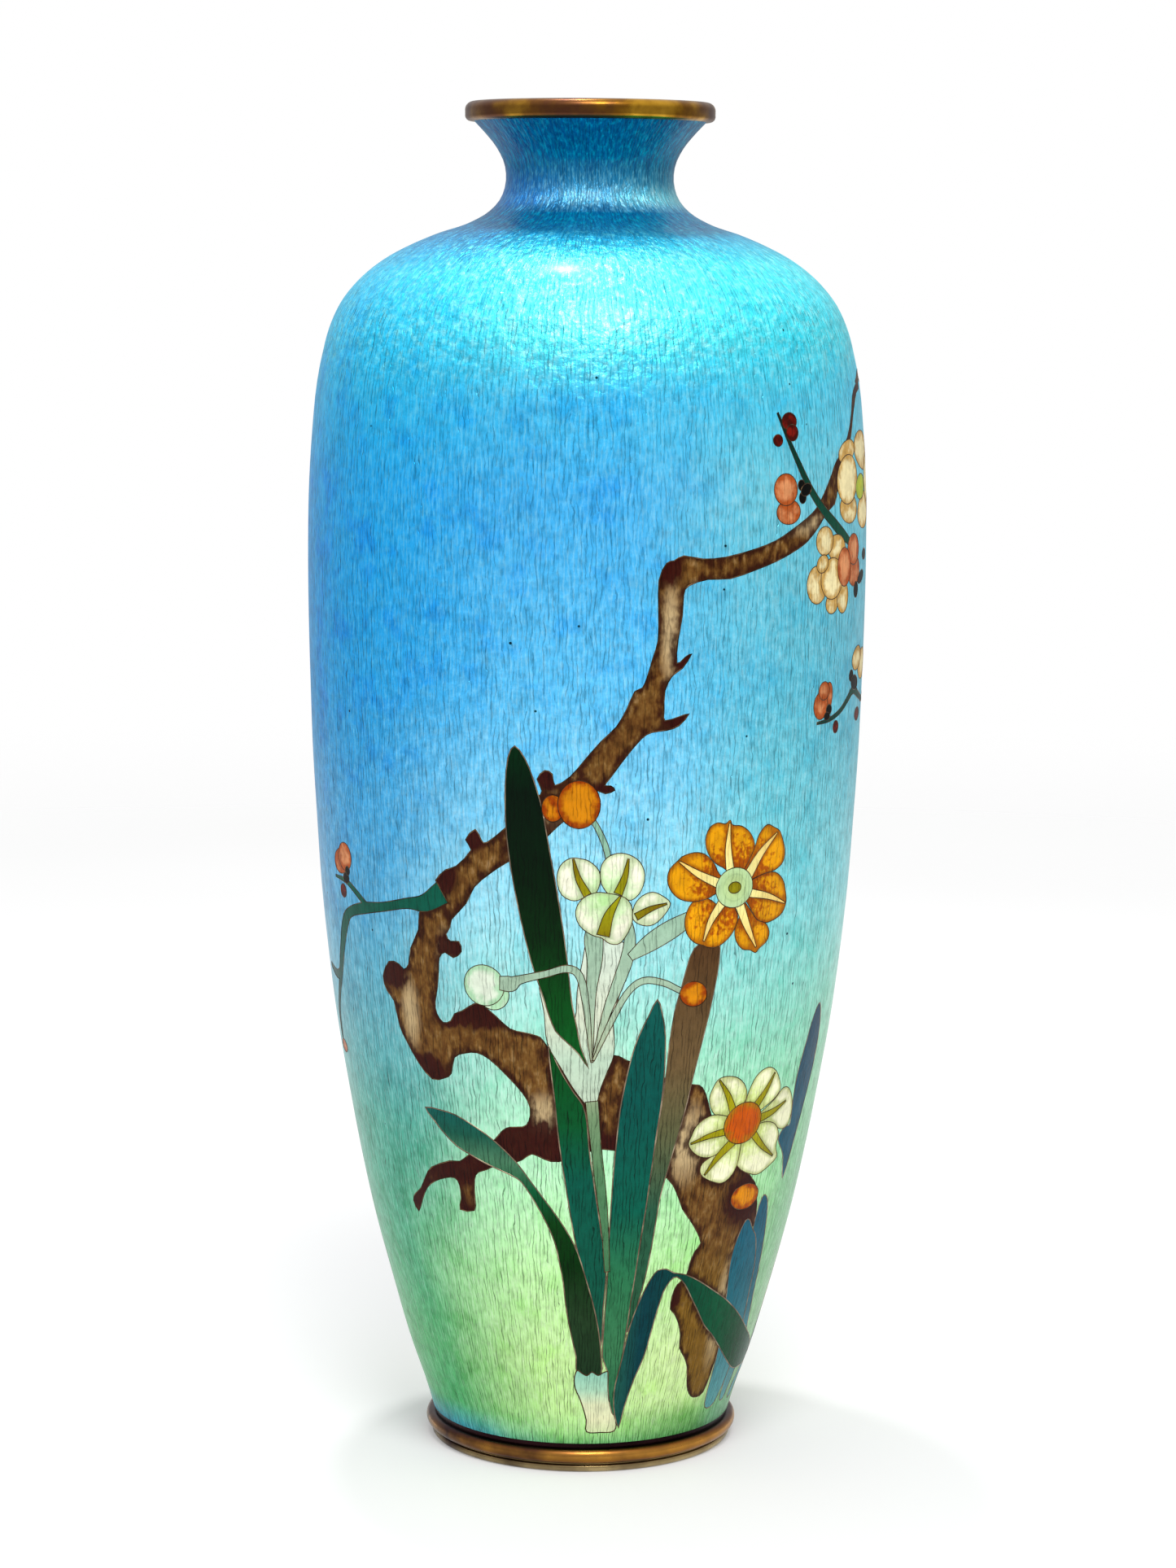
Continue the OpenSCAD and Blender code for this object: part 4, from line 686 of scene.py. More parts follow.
def inset_points(tris, rim, label):
    """Flat places of a region's points, with its outline drawn in by half the wires there."""
    normals, width = {}, {}
    for a, b in rim:
        other = OWNERS.get((b, a))
        if other is None:
            continue
        n = left_of(true_direction(a, b))
        w = CELLS[max(label, other)]["wire"] / 2
        for k in (a, b):
            normals.setdefault(k, []).append(n)
            width[k] = max(width.get(k, 0), w)
    moves = {}
    for k, list_of in normals.items():
        m = mitre(list_of) * width[k]
        moves[k] = np.array([m[0] / NARROW[k], m[1]])
    used = np.unique(tris)
    place = {int(k): FLAT[k] + moves.get(int(k), 0) for k in used}
    for _ in range(EASINGS):
        p = np.array([[place[int(k)] for k in t] for t in tris])
        u, v = p[:, 1] - p[:, 0], p[:, 2] - p[:, 0]
        thin = tris[(u[:, 0] * v[:, 1] - u[:, 1] * v[:, 0]) < NEAR]
        if not len(thin):
            break
        for k in np.unique(thin):
            k = int(k)
            place[k] = FLAT[k] + (place[k] - FLAT[k]) / 2
    return used, np.array([place[int(k)] for k in used])


GOLDEN = 0.618  # step that spreads the cells' tones evenly


def angle_and_length(flat):
    return np.c_[flat[:, 0] / ACROSS, flat[:, 1]]


class Solid:
    """Points, faces, corner normals and point attributes of one piece."""

    def __init__(self):
        self.points, self.faces, self.normals = [], [], []
        self.facts = {}

    def add(self, points, faces, normals, **facts):
        start = len(self.points)
        self.points += points
        self.faces += [tuple(start + k for k in f) for f in faces]
        self.normals += normals
        for name, values in facts.items():
            self.facts.setdefault(name, []).extend(values)

    def build(self, name, material):
        mesh = bpy.data.meshes.new(name)
        mesh.from_pydata([tuple(p) for p in self.points], [], self.faces)
        mesh.shade_smooth()
        if self.normals:
            mesh.normals_split_custom_set([tuple(n) for n in self.normals])
        for fact, values in self.facts.items():
            kind, field = ("FLOAT_VECTOR", "vector") if fact == "wrap" else ("FLOAT", "value")
            layer = mesh.attributes.new(fact, kind, "POINT")
            layer.data.foreach_set(field, np.array(values, np.float32).ravel())
        mesh.materials.append(material)
        mesh.validate()
        return add_object(name, mesh)


def wrap_of(flat):
    """Place on a tube of radius 1, with the length along the meridian in mm."""
    a = np.radians(flat[:, 0] / ACROSS)
    return np.c_[np.sin(a), -np.cos(a), flat[:, 1]]


def patches(flat, spots):
    """How deep each flat place lies in the nearest of the oval spots, 0 to 1."""
    best = np.zeros(len(flat))
    for a, z, w, h in spots:
        x = (flat[:, 0] - a * ACROSS) * mm_per_degree(z) / ACROSS / w
        y = (flat[:, 1] - length_at(z)) / h
        best = np.maximum(best, np.clip(1.5 - np.hypot(x, y), 0, 1))
    return best


def on_seam(x):
    """True at the back, where the two ends of the flat drawing meet."""
    return abs(abs(x) - FULL_WIDTH / 2) < NEAR


def rim_of(tris, label):
    """The directed edges round a cell."""
    rim = []
    for t in tris.tolist():
        for a, b in zip(t, t[1:] + t[:1]):
            if OWNERS.get((b, a)) != label:
                rim.append((a, b))
    return rim


def join_seam(row):
    """Gives the points on either side of the seam the same number."""
    at_height = {}
    for k, n in row.items():
        if on_seam(FLAT[k][0]):
            row[k] = at_height.setdefault(round(FLAT[k][1], 3), n)


def cell_facts(flat, used, rim, label):
    """Distance in mm from the cell's outline, and from 0 to 1 from its centre."""
    scale = np.array([float(NARROW[used].mean()), 1])
    a = np.array([FLAT[i] for i, _ in rim]) * scale
    b = np.array([FLAT[j] for _, j in rim]) * scale
    radial = np.zeros(len(flat))
    centre = CELLS[label]["centre"]
    if centre:
        c = to_flat(np.array([centre], float))[0]
        away = (flat - c) * [mm_per_degree(centre[1]) / ACROSS, 1]
        radial = np.hypot(away[:, 0], away[:, 1]) / CELLS[label]["reach"]
    return distance(flat * scale, a, b), radial


def slab(solid, label):
    """Adds the visible part of a cell to a solid, as a closed slab of enamel."""
    tris = TRIANGLES[TOP == label]
    if not len(tris):
        return
    rim = rim_of(tris, label)
    used, flat = inset_points(tris, rim, label)
    n = len(used)
    row = {int(k): i for i, k in enumerate(used)}
    if label == GROUND:
        join_seam(row)
    top, out = bend(angle_and_length(flat))
    low, _ = bend(angle_and_length(flat), ENAMEL)
    faces, normals = [], []
    for t in tris.tolist():
        i, j, k = (row[v] for v in t)
        faces += [(i, j, k), (n + k, n + j, n + i)]
        normals += [out[i], out[j], out[k], -out[k], -out[j], -out[i]]
    for a, b in rim:
        i, j = row[a], row[b]
        if OWNERS.get((b, a)) is None and on_seam((FLAT[a][0] + FLAT[b][0]) / 2):
            continue
        wall = np.cross(low[j] - top[j], top[i] - top[j])
        wall /= max(np.linalg.norm(wall), TINY)
        faces.append((j, i, n + i, n + j))
        normals += [wall] * 4
    both = np.vstack([flat, flat])
    facts = {name: np.zeros(2 * n) for name in ("edge", "radial", "tone", "dark", "pale")}
    if label != GROUND:
        edge, radial = cell_facts(flat, used, rim, label)
        facts["edge"], facts["radial"] = np.tile(edge, 2), np.tile(radial, 2)
        facts["tone"] += (label * GOLDEN) % 1
    if label != GROUND and CELLS[label]["node"] == "plum_branch":
        facts["dark"], facts["pale"] = patches(both, DARK_BARK), patches(both, PALE_BARK)
    solid.add(list(top) + list(low), faces, normals, wrap=wrap_of(both), **facts)


# --- Wires -------------------------------------------------------------------------

def chains(label):
    """Runs of points along the seams that belong to a cell's own wire."""
    steps = {}
    for (a, b), own in OWNERS.items():
        if own == label and OWNERS.get((b, a), label) < label:
            steps.setdefault(a, []).append(b)
    arrivals = {b for list_of in steps.values() for b in list_of}
    runs = []
    starts = [a for a in steps if a not in arrivals] + list(steps)
    for first in starts:
        while steps.get(first):
            run = [first]
            while steps.get(run[-1]):
                run.append(steps[run[-1]].pop())
                if run[-1] == first:
                    break
            runs.append(run)
    return runs


def ribbon(solid, run, wire):
    """Adds a wire standing on edge along a run of points."""
    closed = run[0] == run[-1] and len(run) > 3
    keys = run[:-1] if closed else run
    n = len(keys)
    if n < 2:
        return
    hops = [true_direction(a, b) for a, b in zip(run, run[1:])]
    flat, sides = [], []
    for i, k in enumerate(keys):
        around = [hops[i - 1]] if (closed or i) else []
        around += [hops[i]] if i < len(hops) else []
        m = mitre([left_of(d) for d in around]) * wire / 2
        flat.append(FLAT[k])
        sides.append([m[0] / NARROW[k], m[1]])
    flat, sides = np.array(flat), np.array(sides)
    # Across the wire's section: offset to the left, and height over the enamel
    section = [(1, 0.0), (0.55, 0.85), (-0.55, 0.85), (-1, 0.0)]
    rows = []
    for offset, stand in section:
        rows.append(bend(angle_and_length(flat + sides * offset), -WIRE_STAND * stand)[0])
    for offset in (-1, 1):
        rows.append(bend(angle_and_length(flat + sides * offset), ENAMEL)[0])
    points = np.stack(rows, 1).reshape(-1, 3)
    m = len(rows)
    faces = []
    for i in range(n if closed else n - 1):
        j = (i + 1) % n
        for k in range(m):
            q = (k + 1) % m
            faces.append((i * m + k, i * m + q, j * m + q, j * m + k))
    if not closed:
        faces.append(tuple(range(m - 1, -1, -1)))
        faces.append(tuple((n - 1) * m + k for k in range(m)))
    solid.add(list(points), faces, [], wrap=np.repeat(wrap_of(flat), m, axis=0))


# --- Materials ----------------------------------------------------------------------

def linear(colour):
    """A colour as the shaders take it. Three numbers are display values of 0 to 255."""
    if len(colour) == 4:
        return colour
    parts = [v / 255 for v in colour]
    return (*(v / 12.92 if v <= 0.04045 else ((v + 0.055) / 1.055) ** 2.4 for v in parts), 1.0)


class Shader:
    """A node material, built one node at a time."""

    def __init__(self, name):
        self.material = bpy.data.materials.new(name)
        self.material.use_nodes = True
        self.nodes = self.material.node_tree.nodes
        self.links = self.material.node_tree.links
        self.nodes.clear()

    def add(self, kind, sockets=(), **settings):
        node = self.nodes.new("ShaderNode" + kind)
        for name, value in settings.items():
            setattr(node, name, value)
        for key, value in dict(sockets).items():
            if isinstance(value, bpy.types.NodeSocket):
                self.links.new(value, node.inputs[key])
            else:
                node.inputs[key].default_value = value
        return node

    def fact(self, name, vector=False):
        node = self.add("Attribute", attribute_name=name)
        return node.outputs["Vector" if vector else "Fac"]

    def part(self, vector, letter):
        return self.add("SeparateXYZ", {0: vector}).outputs[letter]

    def height(self):
        """Height above the foot, in metres."""
        return self.part(self.add("TexCoord").outputs["Object"], "Z")

    def math(self, operation, a, b=0.0):
        return self.add("Math", {0: a, 1: b}, operation=operation).outputs[0]

    def scaled(self, vector, x, y, z):
        return self.add("VectorMath", {0: vector, 1: (x, y, z)}, operation="MULTIPLY").outputs[0]

    def span(self, value, a, b, c=0.0, d=1.0, smooth=True):
        """Maps a..b to c..d."""
        node = self.add("MapRange", {"Value": value, "From Min": a, "From Max": b,
                                     "To Min": c, "To Max": d})
        node.interpolation_type = "SMOOTHSTEP" if smooth else "LINEAR"
        return node.outputs["Result"]

    def noise(self, vector, scale, detail=2.0):
        node = self.add("TexNoise", {"Vector": vector, "Scale": scale, "Detail": detail})
        return node.outputs["Fac"]

    def ramp(self, factor, stops):
        """A ramp over [place, colour] stops, with the places rescaled to 0..1."""
        first, last = stops[0][0], stops[-1][0]
        node = self.add("ValToRGB", {"Fac": self.span(factor, first, last, smooth=False)})
        band = node.color_ramp
        while len(band.elements) < len(stops):
            band.elements.new(0.5)
        for element, (place, _) in zip(band.elements, stops):
            element.position = (place - first) / (last - first)
        for element, (_, colour) in zip(band.elements, stops):
            element.color = linear(colour)
        return node.outputs["Color"]

    def mix(self, factor, a, b):
        """Blends from colour a to colour b."""
        node = self.add("Mix", data_type="RGBA", blend_type="MIX", clamp_factor=True)
        for key, value in (("Factor_Float", factor), ("A_Color", a), ("B_Color", b)):
            socket = next(s for s in node.inputs if s.identifier == key)
            if isinstance(value, bpy.types.NodeSocket):
                self.links.new(value, socket)
            else:
                socket.default_value = linear(value) if key.endswith("Color") else value
        return next(s for s in node.outputs if s.identifier == "Result_Color")

    def surface(self, **sockets):
        names = {k.replace("_", " ").title().replace("Ior", "IOR"): v
                 for k, v in sockets.items()}
        shader = self.add("BsdfPrincipled", names)
        self.add("OutputMaterial", {"Surface": shader.outputs[0]})


BLACK = (0, 0, 0, 1)
WHITE = (1, 1, 1, 1)
BODY_CREASES = 400  # upright creases of the foil in a full turn of the body
NECK_CREASES = 190  # and of the neck
BODY_TUBE = 46.0  # radius at which the body's foil pattern has its true size, in mm
NECK_TUBE = 17.0  # and the neck's
MOTIF_TUBE = 50.0  # and the motifs' own speckles
DRIFT = 8.0  # how far a crease wanders over some centimetres, in radians of its wave
JITTER = 1.7  # and over a millimetre or two
NECK_FROM, NECK_TO = float(length_at(212)), float(length_at(218))
# Painted sheen: between these heights the paler crumpled patches grow into a painted highlight across the
# shoulder, while the bumps there swell.
SHEEN_AND_CRUMPLE_FROM, SHEEN_AND_CRUMPLE_TO = 0.184, 0.203  # heights where the foil turns crumpled, in metres


def on_wall(shader, tube, upright=1.0):
    """Place on a tube of a radius in mm, its height scaled by upright."""
    return shader.scaled(shader.fact("wrap", vector=True), tube, tube, upright)


def turn_of(shader):
    """Angle from the front in radians, to the right positive."""
    wrap = shader.add("SeparateXYZ", {0: shader.fact("wrap", vector=True)})
    return shader.math("ARCTAN2", wrap.outputs["X"],
                       shader.math("MULTIPLY", wrap.outputs["Y"], -1.0))


def side_of(shader):
    """-1 at the left of the vase, 0 at the front and the back, and 1 at the right."""
    return shader.part(shader.fact("wrap", vector=True), "X")


def creases(shader, tube, count):
    """Masks of the wavy, broken upright creases of the foil, and of the painted highlights on the ridges
    beside them.
    """
    drift = shader.noise(on_wall(shader, tube / 2.6, 1 / 6.0), 1.0)
    jitter = shader.noise(on_wall(shader, tube, 1 / 1.5), 1.0)
    breaks = shader.noise(on_wall(shader, tube / 0.8, 1 / 7.0), 1.0)
    phase = shader.math("ADD", shader.math("MULTIPLY", turn_of(shader), float(count)),
                        shader.span(drift, 0.0, 1.0, -DRIFT, DRIFT, False))
    phase = shader.math("ADD", phase, shader.span(jitter, 0.0, 1.0, -JITTER, JITTER, False))
    line = shader.span(shader.math("COSINE", phase), 0.72, 0.99)
    # Painted highlight: a pale line along the ridges beside each crease.
    ridge_highlight = shader.span(shader.math("SINE", phase), 0.1, 1.0)
    return (shader.math("MULTIPLY", line, shader.span(breaks, 0.44, 0.6)),
            shader.math("MULTIPLY", ridge_highlight, shader.span(breaks, 0.56, 0.38)))


def foil(shader):
    """The crease masks, and the masks of the painted highlights on the ridges, over body and neck."""
    s = shader.part(shader.fact("wrap", vector=True), "Z")
    neck = shader.span(s, NECK_FROM, NECK_TO)
    on_body = creases(shader, BODY_TUBE, BODY_CREASES)
    on_neck = creases(shader, NECK_TUBE, NECK_CREASES)
    return [shader.add("Mix", {0: neck, 2: body, 3: top}).outputs[0]
            for body, top in zip(on_body, on_neck)]


def dots(shader, place, spacing, radius):
    """Mask of scattered round dots; spacing and radius are in mm."""
    cells = shader.add("TexVoronoi", {"Vector": place, "Scale": 1 / spacing})
    return shader.span(cells.outputs["Distance"], radius / spacing, 0.6 * radius / spacing)


def enamel(name, paint, metal=0.5, depth=0.6, sparkle=1.0, lift=0.5):
    """Clear coloured glass over crumpled silver foil. paint(shader) gives its colour,
    depth is how dark the creases show through it, sparkle how strong the painted
    highlights on the crumples and ridges are, and lift how pale they are, 1 for none."""
    shader = Shader(name)
    colour = paint(shader)
    crease, ridge_highlight = foil(shader)
    z = shader.height()
    place = on_wall(shader, BODY_TUBE)
    mottle = shader.noise(place, 0.5, 4.0)
    crumple_glint = shader.span(shader.noise(place, 0.85, 4.0), 0.46, 0.70)
    grain = shader.noise(shader.scaled(place, 2.6, 2.6, 0.45), 1.0, 3.0)
    high = shader.span(z, SHEEN_AND_CRUMPLE_FROM, SHEEN_AND_CRUMPLE_TO)
    bright = shader.math("MULTIPLY", shader.span(high, 0.0, 1.0, 0.2, 0.9), sparkle)
    # Painted highlights: a paler copy of the colour is laid on in crumpled patches that grow on the
    # shoulder, along the ridges beside the creases, and on fine streaks.
    lit = shader.add("Gamma", {"Color": colour, "Gamma": lift}).outputs[0]
    colour = shader.mix(shader.math("MULTIPLY", crumple_glint, bright), colour, lit)
    colour = shader.mix(shader.math("MULTIPLY", ridge_highlight, 0.35 * sparkle), colour, lit)
    colour = shader.mix(shader.span(grain, 0.52, 0.74, 0.0, 0.5 * sparkle), colour, lit)
    colour = shader.mix(shader.span(grain, 0.48, 0.3, 0.0, 0.5 * depth), colour, BLACK)
    colour = shader.mix(shader.span(mottle, 0.3, 0.6, 0.16, 0.0), colour, BLACK)
    colour = shader.mix(shader.math("MULTIPLY", shader.fact("tone"), 0.14), colour, BLACK)
    flank = shader.math("ABSOLUTE", side_of(shader))
    ink = shader.math("MAXIMUM", shader.span(z, 0.05, 0.17, depth, 0.3 * depth),
                      shader.span(flank, 0.5, 0.9, 0.0, 1.1 * depth))
    colour = shader.mix(shader.math("MULTIPLY", crease, ink), colour, BLACK)
    swell = shader.math("MULTIPLY", mottle, shader.span(high, 0.0, 1.0, 1.0, 2.4))
    relief = shader.math("SUBTRACT", swell, crease)
    bump = shader.add("Bump", {"Strength": 0.6, "Distance": 0.0005, "Height": relief})
    shader.surface(base_color=colour, metallic=metal, roughness=0.34,
                   normal=bump.outputs[0], coat_weight=0.4, coat_roughness=0.2,
                   coat_ior=1.25, specular_ior_level=0.0)
    return shader.material


def by_height(stops):
    """A paint that changes with height in mm."""
    return lambda shader: shader.ramp(shader.height(), [[z * MM, c] for z, c in stops])


def angle_of(shader):
    """Angle from the front in degrees, to the right positive."""
    return shader.math("MULTIPLY", turn_of(shader), 180 / math.pi)


def by_angle(stops):
    return lambda shader: shader.ramp(angle_of(shader), stops)


def by_fact(fact, stops):
    return lambda shader: shader.ramp(shader.fact(fact), stops)


# Ground colours up the vase: on the left, in the middle and on the right of the front.
# Besides the enamel's own grading they hold painted light: the middle is painted paler as a
# broad upright highlight, the left deeper as painted shade, and 200 to 212 mm carries a
# painted sheen across the shoulder.
GROUND_LEFT = [
    [5, (44, 160, 188)], [7, (56, 168, 160)], [10, (62, 172, 100)], [22, (80, 172, 106)],
    [40, (72, 166, 122)], [62, (76, 166, 146)], [80, (90, 172, 184)],
    [105, (72, 168, 217)], [140, (27, 169, 243)], [175, (31, 179, 255)],
    [200, (41, 207, 255)], [210, (45, 204, 249)], [216, (20, 140, 196)],
    [218, (0, 102, 157)], [221, (0, 100, 159)], [223, (34, 132, 215)],
    [226, (24, 124, 206)], [229, (0, 117, 178)], [237, (0, 104, 154)]
]
GROUND_MIDDLE = [
    [5, (110, 196, 116)], [8, (180, 240, 150)], [12, (204, 249, 160)],
    [22, (207, 249, 164)], [40, (196, 249, 172)], [62, (184, 244, 200)],
    [80, (170, 234, 210)], [105, (153, 227, 245)], [140, (92, 201, 255)],
    [175, (66, 186, 253)], [190, (68, 200, 250)], [200, (84, 236, 252)],
    [212, (82, 233, 249)], [216, (30, 170, 214)], [218, (0, 113, 167)],
    [221, (0, 109, 165)], [223, (84, 172, 210)], [226, (40, 142, 196)],
    [229, (0, 113, 166)], [237, (0, 106, 159)]
]
GROUND_RIGHT = [
    [5, (64, 144, 66)], [9, (128, 194, 104)], [13, (214, 249, 166)],
    [22, (223, 249, 172)], [40, (178, 236, 154)], [62, (160, 228, 172)],
    [80, (143, 220, 192)], [105, (126, 217, 224)], [140, (97, 204, 230)],
    [175, (119, 220, 241)], [190, (83, 220, 254)], [200, (66, 230, 249)],
    [212, (64, 227, 244)], [216, (24, 166, 208)], [218, (0, 115, 166)],
    [221, (0, 113, 168)], [223, (111, 206, 222)], [226, (44, 148, 186)],
    [229, (0, 117, 163)], [237, (0, 104, 149)]
]


def paint_ground(shader):
    """Blended round the vase from the three ramps, with their painted highlight in the middle, cloudy,
    with a few pinholes.
    """
    z = shader.height()
    left, middle, right = (by_height(stops)(shader)
                           for stops in (GROUND_LEFT, GROUND_MIDDLE, GROUND_RIGHT))
    drift = shader.noise(on_wall(shader, 1.4, 0.02), 1.0)
    side = shader.math("ADD", side_of(shader),
                       shader.span(drift, 0, 1, -0.25, 0.25, False))
    colour = shader.mix(shader.span(side, -0.85, -0.15), left, middle)
    colour = shader.mix(shader.span(side, 0.1, 0.75), colour, right)
    place = on_wall(shader, BODY_TUBE)
    cloud = shader.noise(place, 0.16, 3.0)
    deep = shader.add("Gamma", {"Color": colour, "Gamma": 1.5}).outputs[0]
    colour = shader.mix(shader.span(cloud, 0.5, 0.3, 0.0, 0.55), colour, deep)
    # Painted shade: low on the right flank the ground is greyed towards a dull green.
    flank = shader.math("MULTIPLY", shader.span(side, 0.72, 0.95, 0.0, 0.8),
                        shader.span(z, 0.1, 0.05))
    colour = shader.mix(flank, colour, (96, 166, 120))
    return shader.mix(dots(shader, place, 8.0, 0.3), colour, (0, 44, 60))


def paint_bark(shader):
    """Speckled brown, with burnt edges and patches."""
    grain = shader.noise(on_wall(shader, MOTIF_TUBE, 0.6), 0.8, 4.0)
    body = shader.ramp(grain, [[0.3, (74, 44, 16)], [0.45, (100, 64, 26)],
                               [0.58, (120, 84, 38)], [0.72, (150, 116, 72)]])
    low = shader.span(shader.height(), 0.046, 0.030, 0.0, 0.6)
    body = shader.mix(low, body, (132, 98, 26))
    pale = shader.math("MULTIPLY", shader.fact("pale"), 0.8)
    body = shader.mix(pale, body, (206, 180, 134))
    ragged = shader.math("ADD", shader.fact("edge"),
                         shader.span(grain, 0.3, 0.7, -0.6, 0.6, False))
    body = shader.mix(shader.span(ragged, 0.1, 1.5, 0.9, 0.0), body, (50, 18, 8))
    burnt = shader.math("ADD", shader.fact("dark"),
                        shader.span(grain, 0.3, 0.7, -0.3, 0.3, False))
    return shader.mix(shader.span(burnt, 0.25, 0.8, 0.0, 0.97), body, (52, 12, 8))


def paint_petal(inner, outer, rim, heart, ragged=0.12):
    """From a flower's centre outwards, with a darker line along the petal's edge."""
    def paint(shader):
        far = shader.fact("radial")
        grain = shader.noise(on_wall(shader, MOTIF_TUBE), 1.3, 3.0)
        far = shader.math("ADD", far, shader.span(grain, 0.3, 0.7, -ragged, ragged, False))
        colour = shader.ramp(far, [[0.15, heart], [0.4, inner],
                                   [0.72, outer], [1.0, outer]])
        side = shader.span(shader.fact("edge"), 0.1, 0.9, 0.75, 0.0)
        return shader.mix(side, colour, rim)
    return paint


def paint_oval(middle, rim, width=1.6):
    """From an oval's edge inwards."""
    def paint(shader):
        grain = shader.noise(on_wall(shader, MOTIF_TUBE), 0.6, 4.0)
        depth = shader.math("ADD", shader.fact("edge"),
                            shader.span(grain, 0.3, 0.7, -0.8, 0.8, False))
        return shader.mix(shader.span(depth, 0.0, width), rim, middle)
    return paint


def paint_rings(middle, outer, line, count):
    """Fine rings about a centre."""
    def paint(shader):
        far = shader.fact("radial")
        wave = shader.math("SINE", shader.math("MULTIPLY", far, count * 2 * math.pi))
        colour = shader.ramp(far, [[0.0, middle], [1.0, outer]])
        return shader.mix(shader.span(wave, 0.75, 1.0, 0.0, 0.6), colour, line)
    return paint


# The paint of each enamel node, how metallic it looks and how dark its creases are
PAINTS = {
    "plum_branch": (paint_bark, 0.12, 0.6),
    "green_twigs": (by_height([[70, (10, 70, 70)], [106, (10, 92, 72)], [130, (8, 60, 50)],
                               [160, (10, 84, 62)], [188, (6, 40, 34)]]), 0.15, 0.4),
    "blue_leaves": (by_height([[8, (96, 168, 170)], [18, (70, 140, 150)], [30, (24, 104, 120)],
                               [46, (16, 92, 116)], [62, (0, 84, 108)],
                               [83, (0, 62, 90)]]), 0.2, 0.6),
    "brown_leaf": (by_height([[26, (40, 88, 58)], [50, (40, 90, 66)], [64, (92, 94, 62)],
                              [76, (108, 86, 54)], [99, (80, 50, 24)]]), 0.2, 0.6),
    "lower_blade": (by_height([[22, (40, 88, 60)], [34, (14, 90, 70)], [56, (2, 90, 72)],
                               [66, (2, 84, 40)], [81, (2, 74, 16)]]), 0.25, 0.6),
    "centre_leaf": (by_height([[10, (40, 110, 74)], [24, (60, 128, 84)],
                               [38, (44, 122, 80)], [50, (4, 96, 76)],
                               [70, (2, 84, 76)], [88, (8, 88, 80)]]), 0.25, 0.65),
    "curved_leaf": (by_height([[18, (26, 52, 30)], [30, (34, 62, 34)], [40, (2, 46, 6)],
                               [48, (4, 60, 14)], [54, (10, 88, 50)], [59, (72, 124, 92)],
                               [63, (24, 88, 70)], [67, (10, 92, 84)]]), 0.2, 0.5),
    "folded_leaf": (by_angle([[11, (30, 92, 80)], [18, (6, 60, 68)], [24, (4, 62, 64)],
                              [32, (4, 74, 50)], [44, (2, 84, 52)], [60, (4, 66, 36)],
                              [84, (10, 70, 52)]]), 0.2, 0.5),
    "tall_leaf": (by_height([[76, (4, 92, 30)], [90, (4, 66, 18)], [98, (2, 40, 8)],
                             [108, (0, 26, 4)], [124, (0, 20, 6)],
                             [132, (2, 40, 16)]]), 0.15, 0.45),
    "bulb_sheath": (by_height([[7, (230, 250, 190)], [10, (255, 255, 208)],
                               [13, (250, 255, 210)], [16, (190, 238, 206)],
                               [20, (150, 218, 196)]]), 0.2, 0.3),
    "spathe": (by_height([[69, (204, 222, 196)], [78, (200, 226, 200)],
                          [86, (228, 236, 210)], [99, (222, 240, 222)]]), 0.25, 0.5),
    "flower_stems": (by_height([[39, (70, 124, 84)], [56, (84, 132, 90)],
                                [68, (120, 150, 110)], [76, (186, 196, 160)],
                                [88, (176, 204, 176)], [119, (140, 190, 164)]]), 0.25, 0.4),
    "white_bud": (paint_oval((232, 244, 222), (178, 224, 180)), 0.15, 0.2),
    "white_petals": (paint_petal((222, 250, 196), (255, 255, 228), (180, 204, 150),
                                 (190, 236, 160)), 0.05, 0.15),
    "white_rays": (by_fact("radial", [[0.0, (164, 166, 14)], [1.0, (132, 112, 6)]]), 0.2, 0.2),
    "orange_petals": (paint_petal((182, 88, 0), (240, 164, 8), (150, 70, 4),
                                  (170, 80, 0), 0.34), 0.2, 0.4),
    "orange_rays": (by_fact("radial", [[0.2, (252, 246, 164)], [1.0, (252, 206, 104)]]),
                    0.1, 0.1),
    "orange_cup": (paint_rings((206, 232, 150), (196, 230, 172), (176, 210, 148), 2.0),
                   0.2, 0.2),
    "orange_stigma": (by_fact("radial", [[0.0, (160, 150, 10)], [1.0, (130, 120, 6)]]),
                      0.2, 0.2),
    "orange_buds": (paint_oval((224, 140, 10), (158, 62, 0)), 0.2, 0.4),
    "low_petals": (paint_petal((226, 244, 158), (255, 255, 214), (180, 192, 108),
                               (200, 214, 90)), 0.05, 0.15),
    "low_rays": (by_fact("radial", [[0.3, (176, 166, 10)], [1.0, (132, 128, 4)]]), 0.2, 0.3),
    "low_cup": (paint_oval((200, 84, 2), (176, 116, 6), 1.4), 0.25, 0.4),
    "blossom_petals": (paint_oval((252, 236, 180), (204, 160, 84), 1.7), 0.08, 0.2),
    "blossom_hearts": (by_fact("radial", [[0.0, (200, 206, 20)], [1.0, (160, 184, 60)]]),
                       0.2, 0.2),
    "plum_buds": (paint_oval((228, 152, 100), (178, 84, 34), 1.9), 0.12, 0.35),
    "bud_calyxes": (paint_oval((3, 7, 5), (8, 10, 6)), 0.1, 0.2),
    "berries": (paint_oval((128, 22, 8), (70, 12, 4), 0.9), 0.15, 0.3),
}


def metal(name, colours, rough, grain):
    """Worn metal whose colour wanders between three tones; grain is the size in mm."""
    def paint(shader, stain):
        return shader.ramp(stain, [[0.32, colours[0]], [0.5, colours[1]],
                                   [0.68, colours[2]]])
    return worn(name, paint, rough, grain)


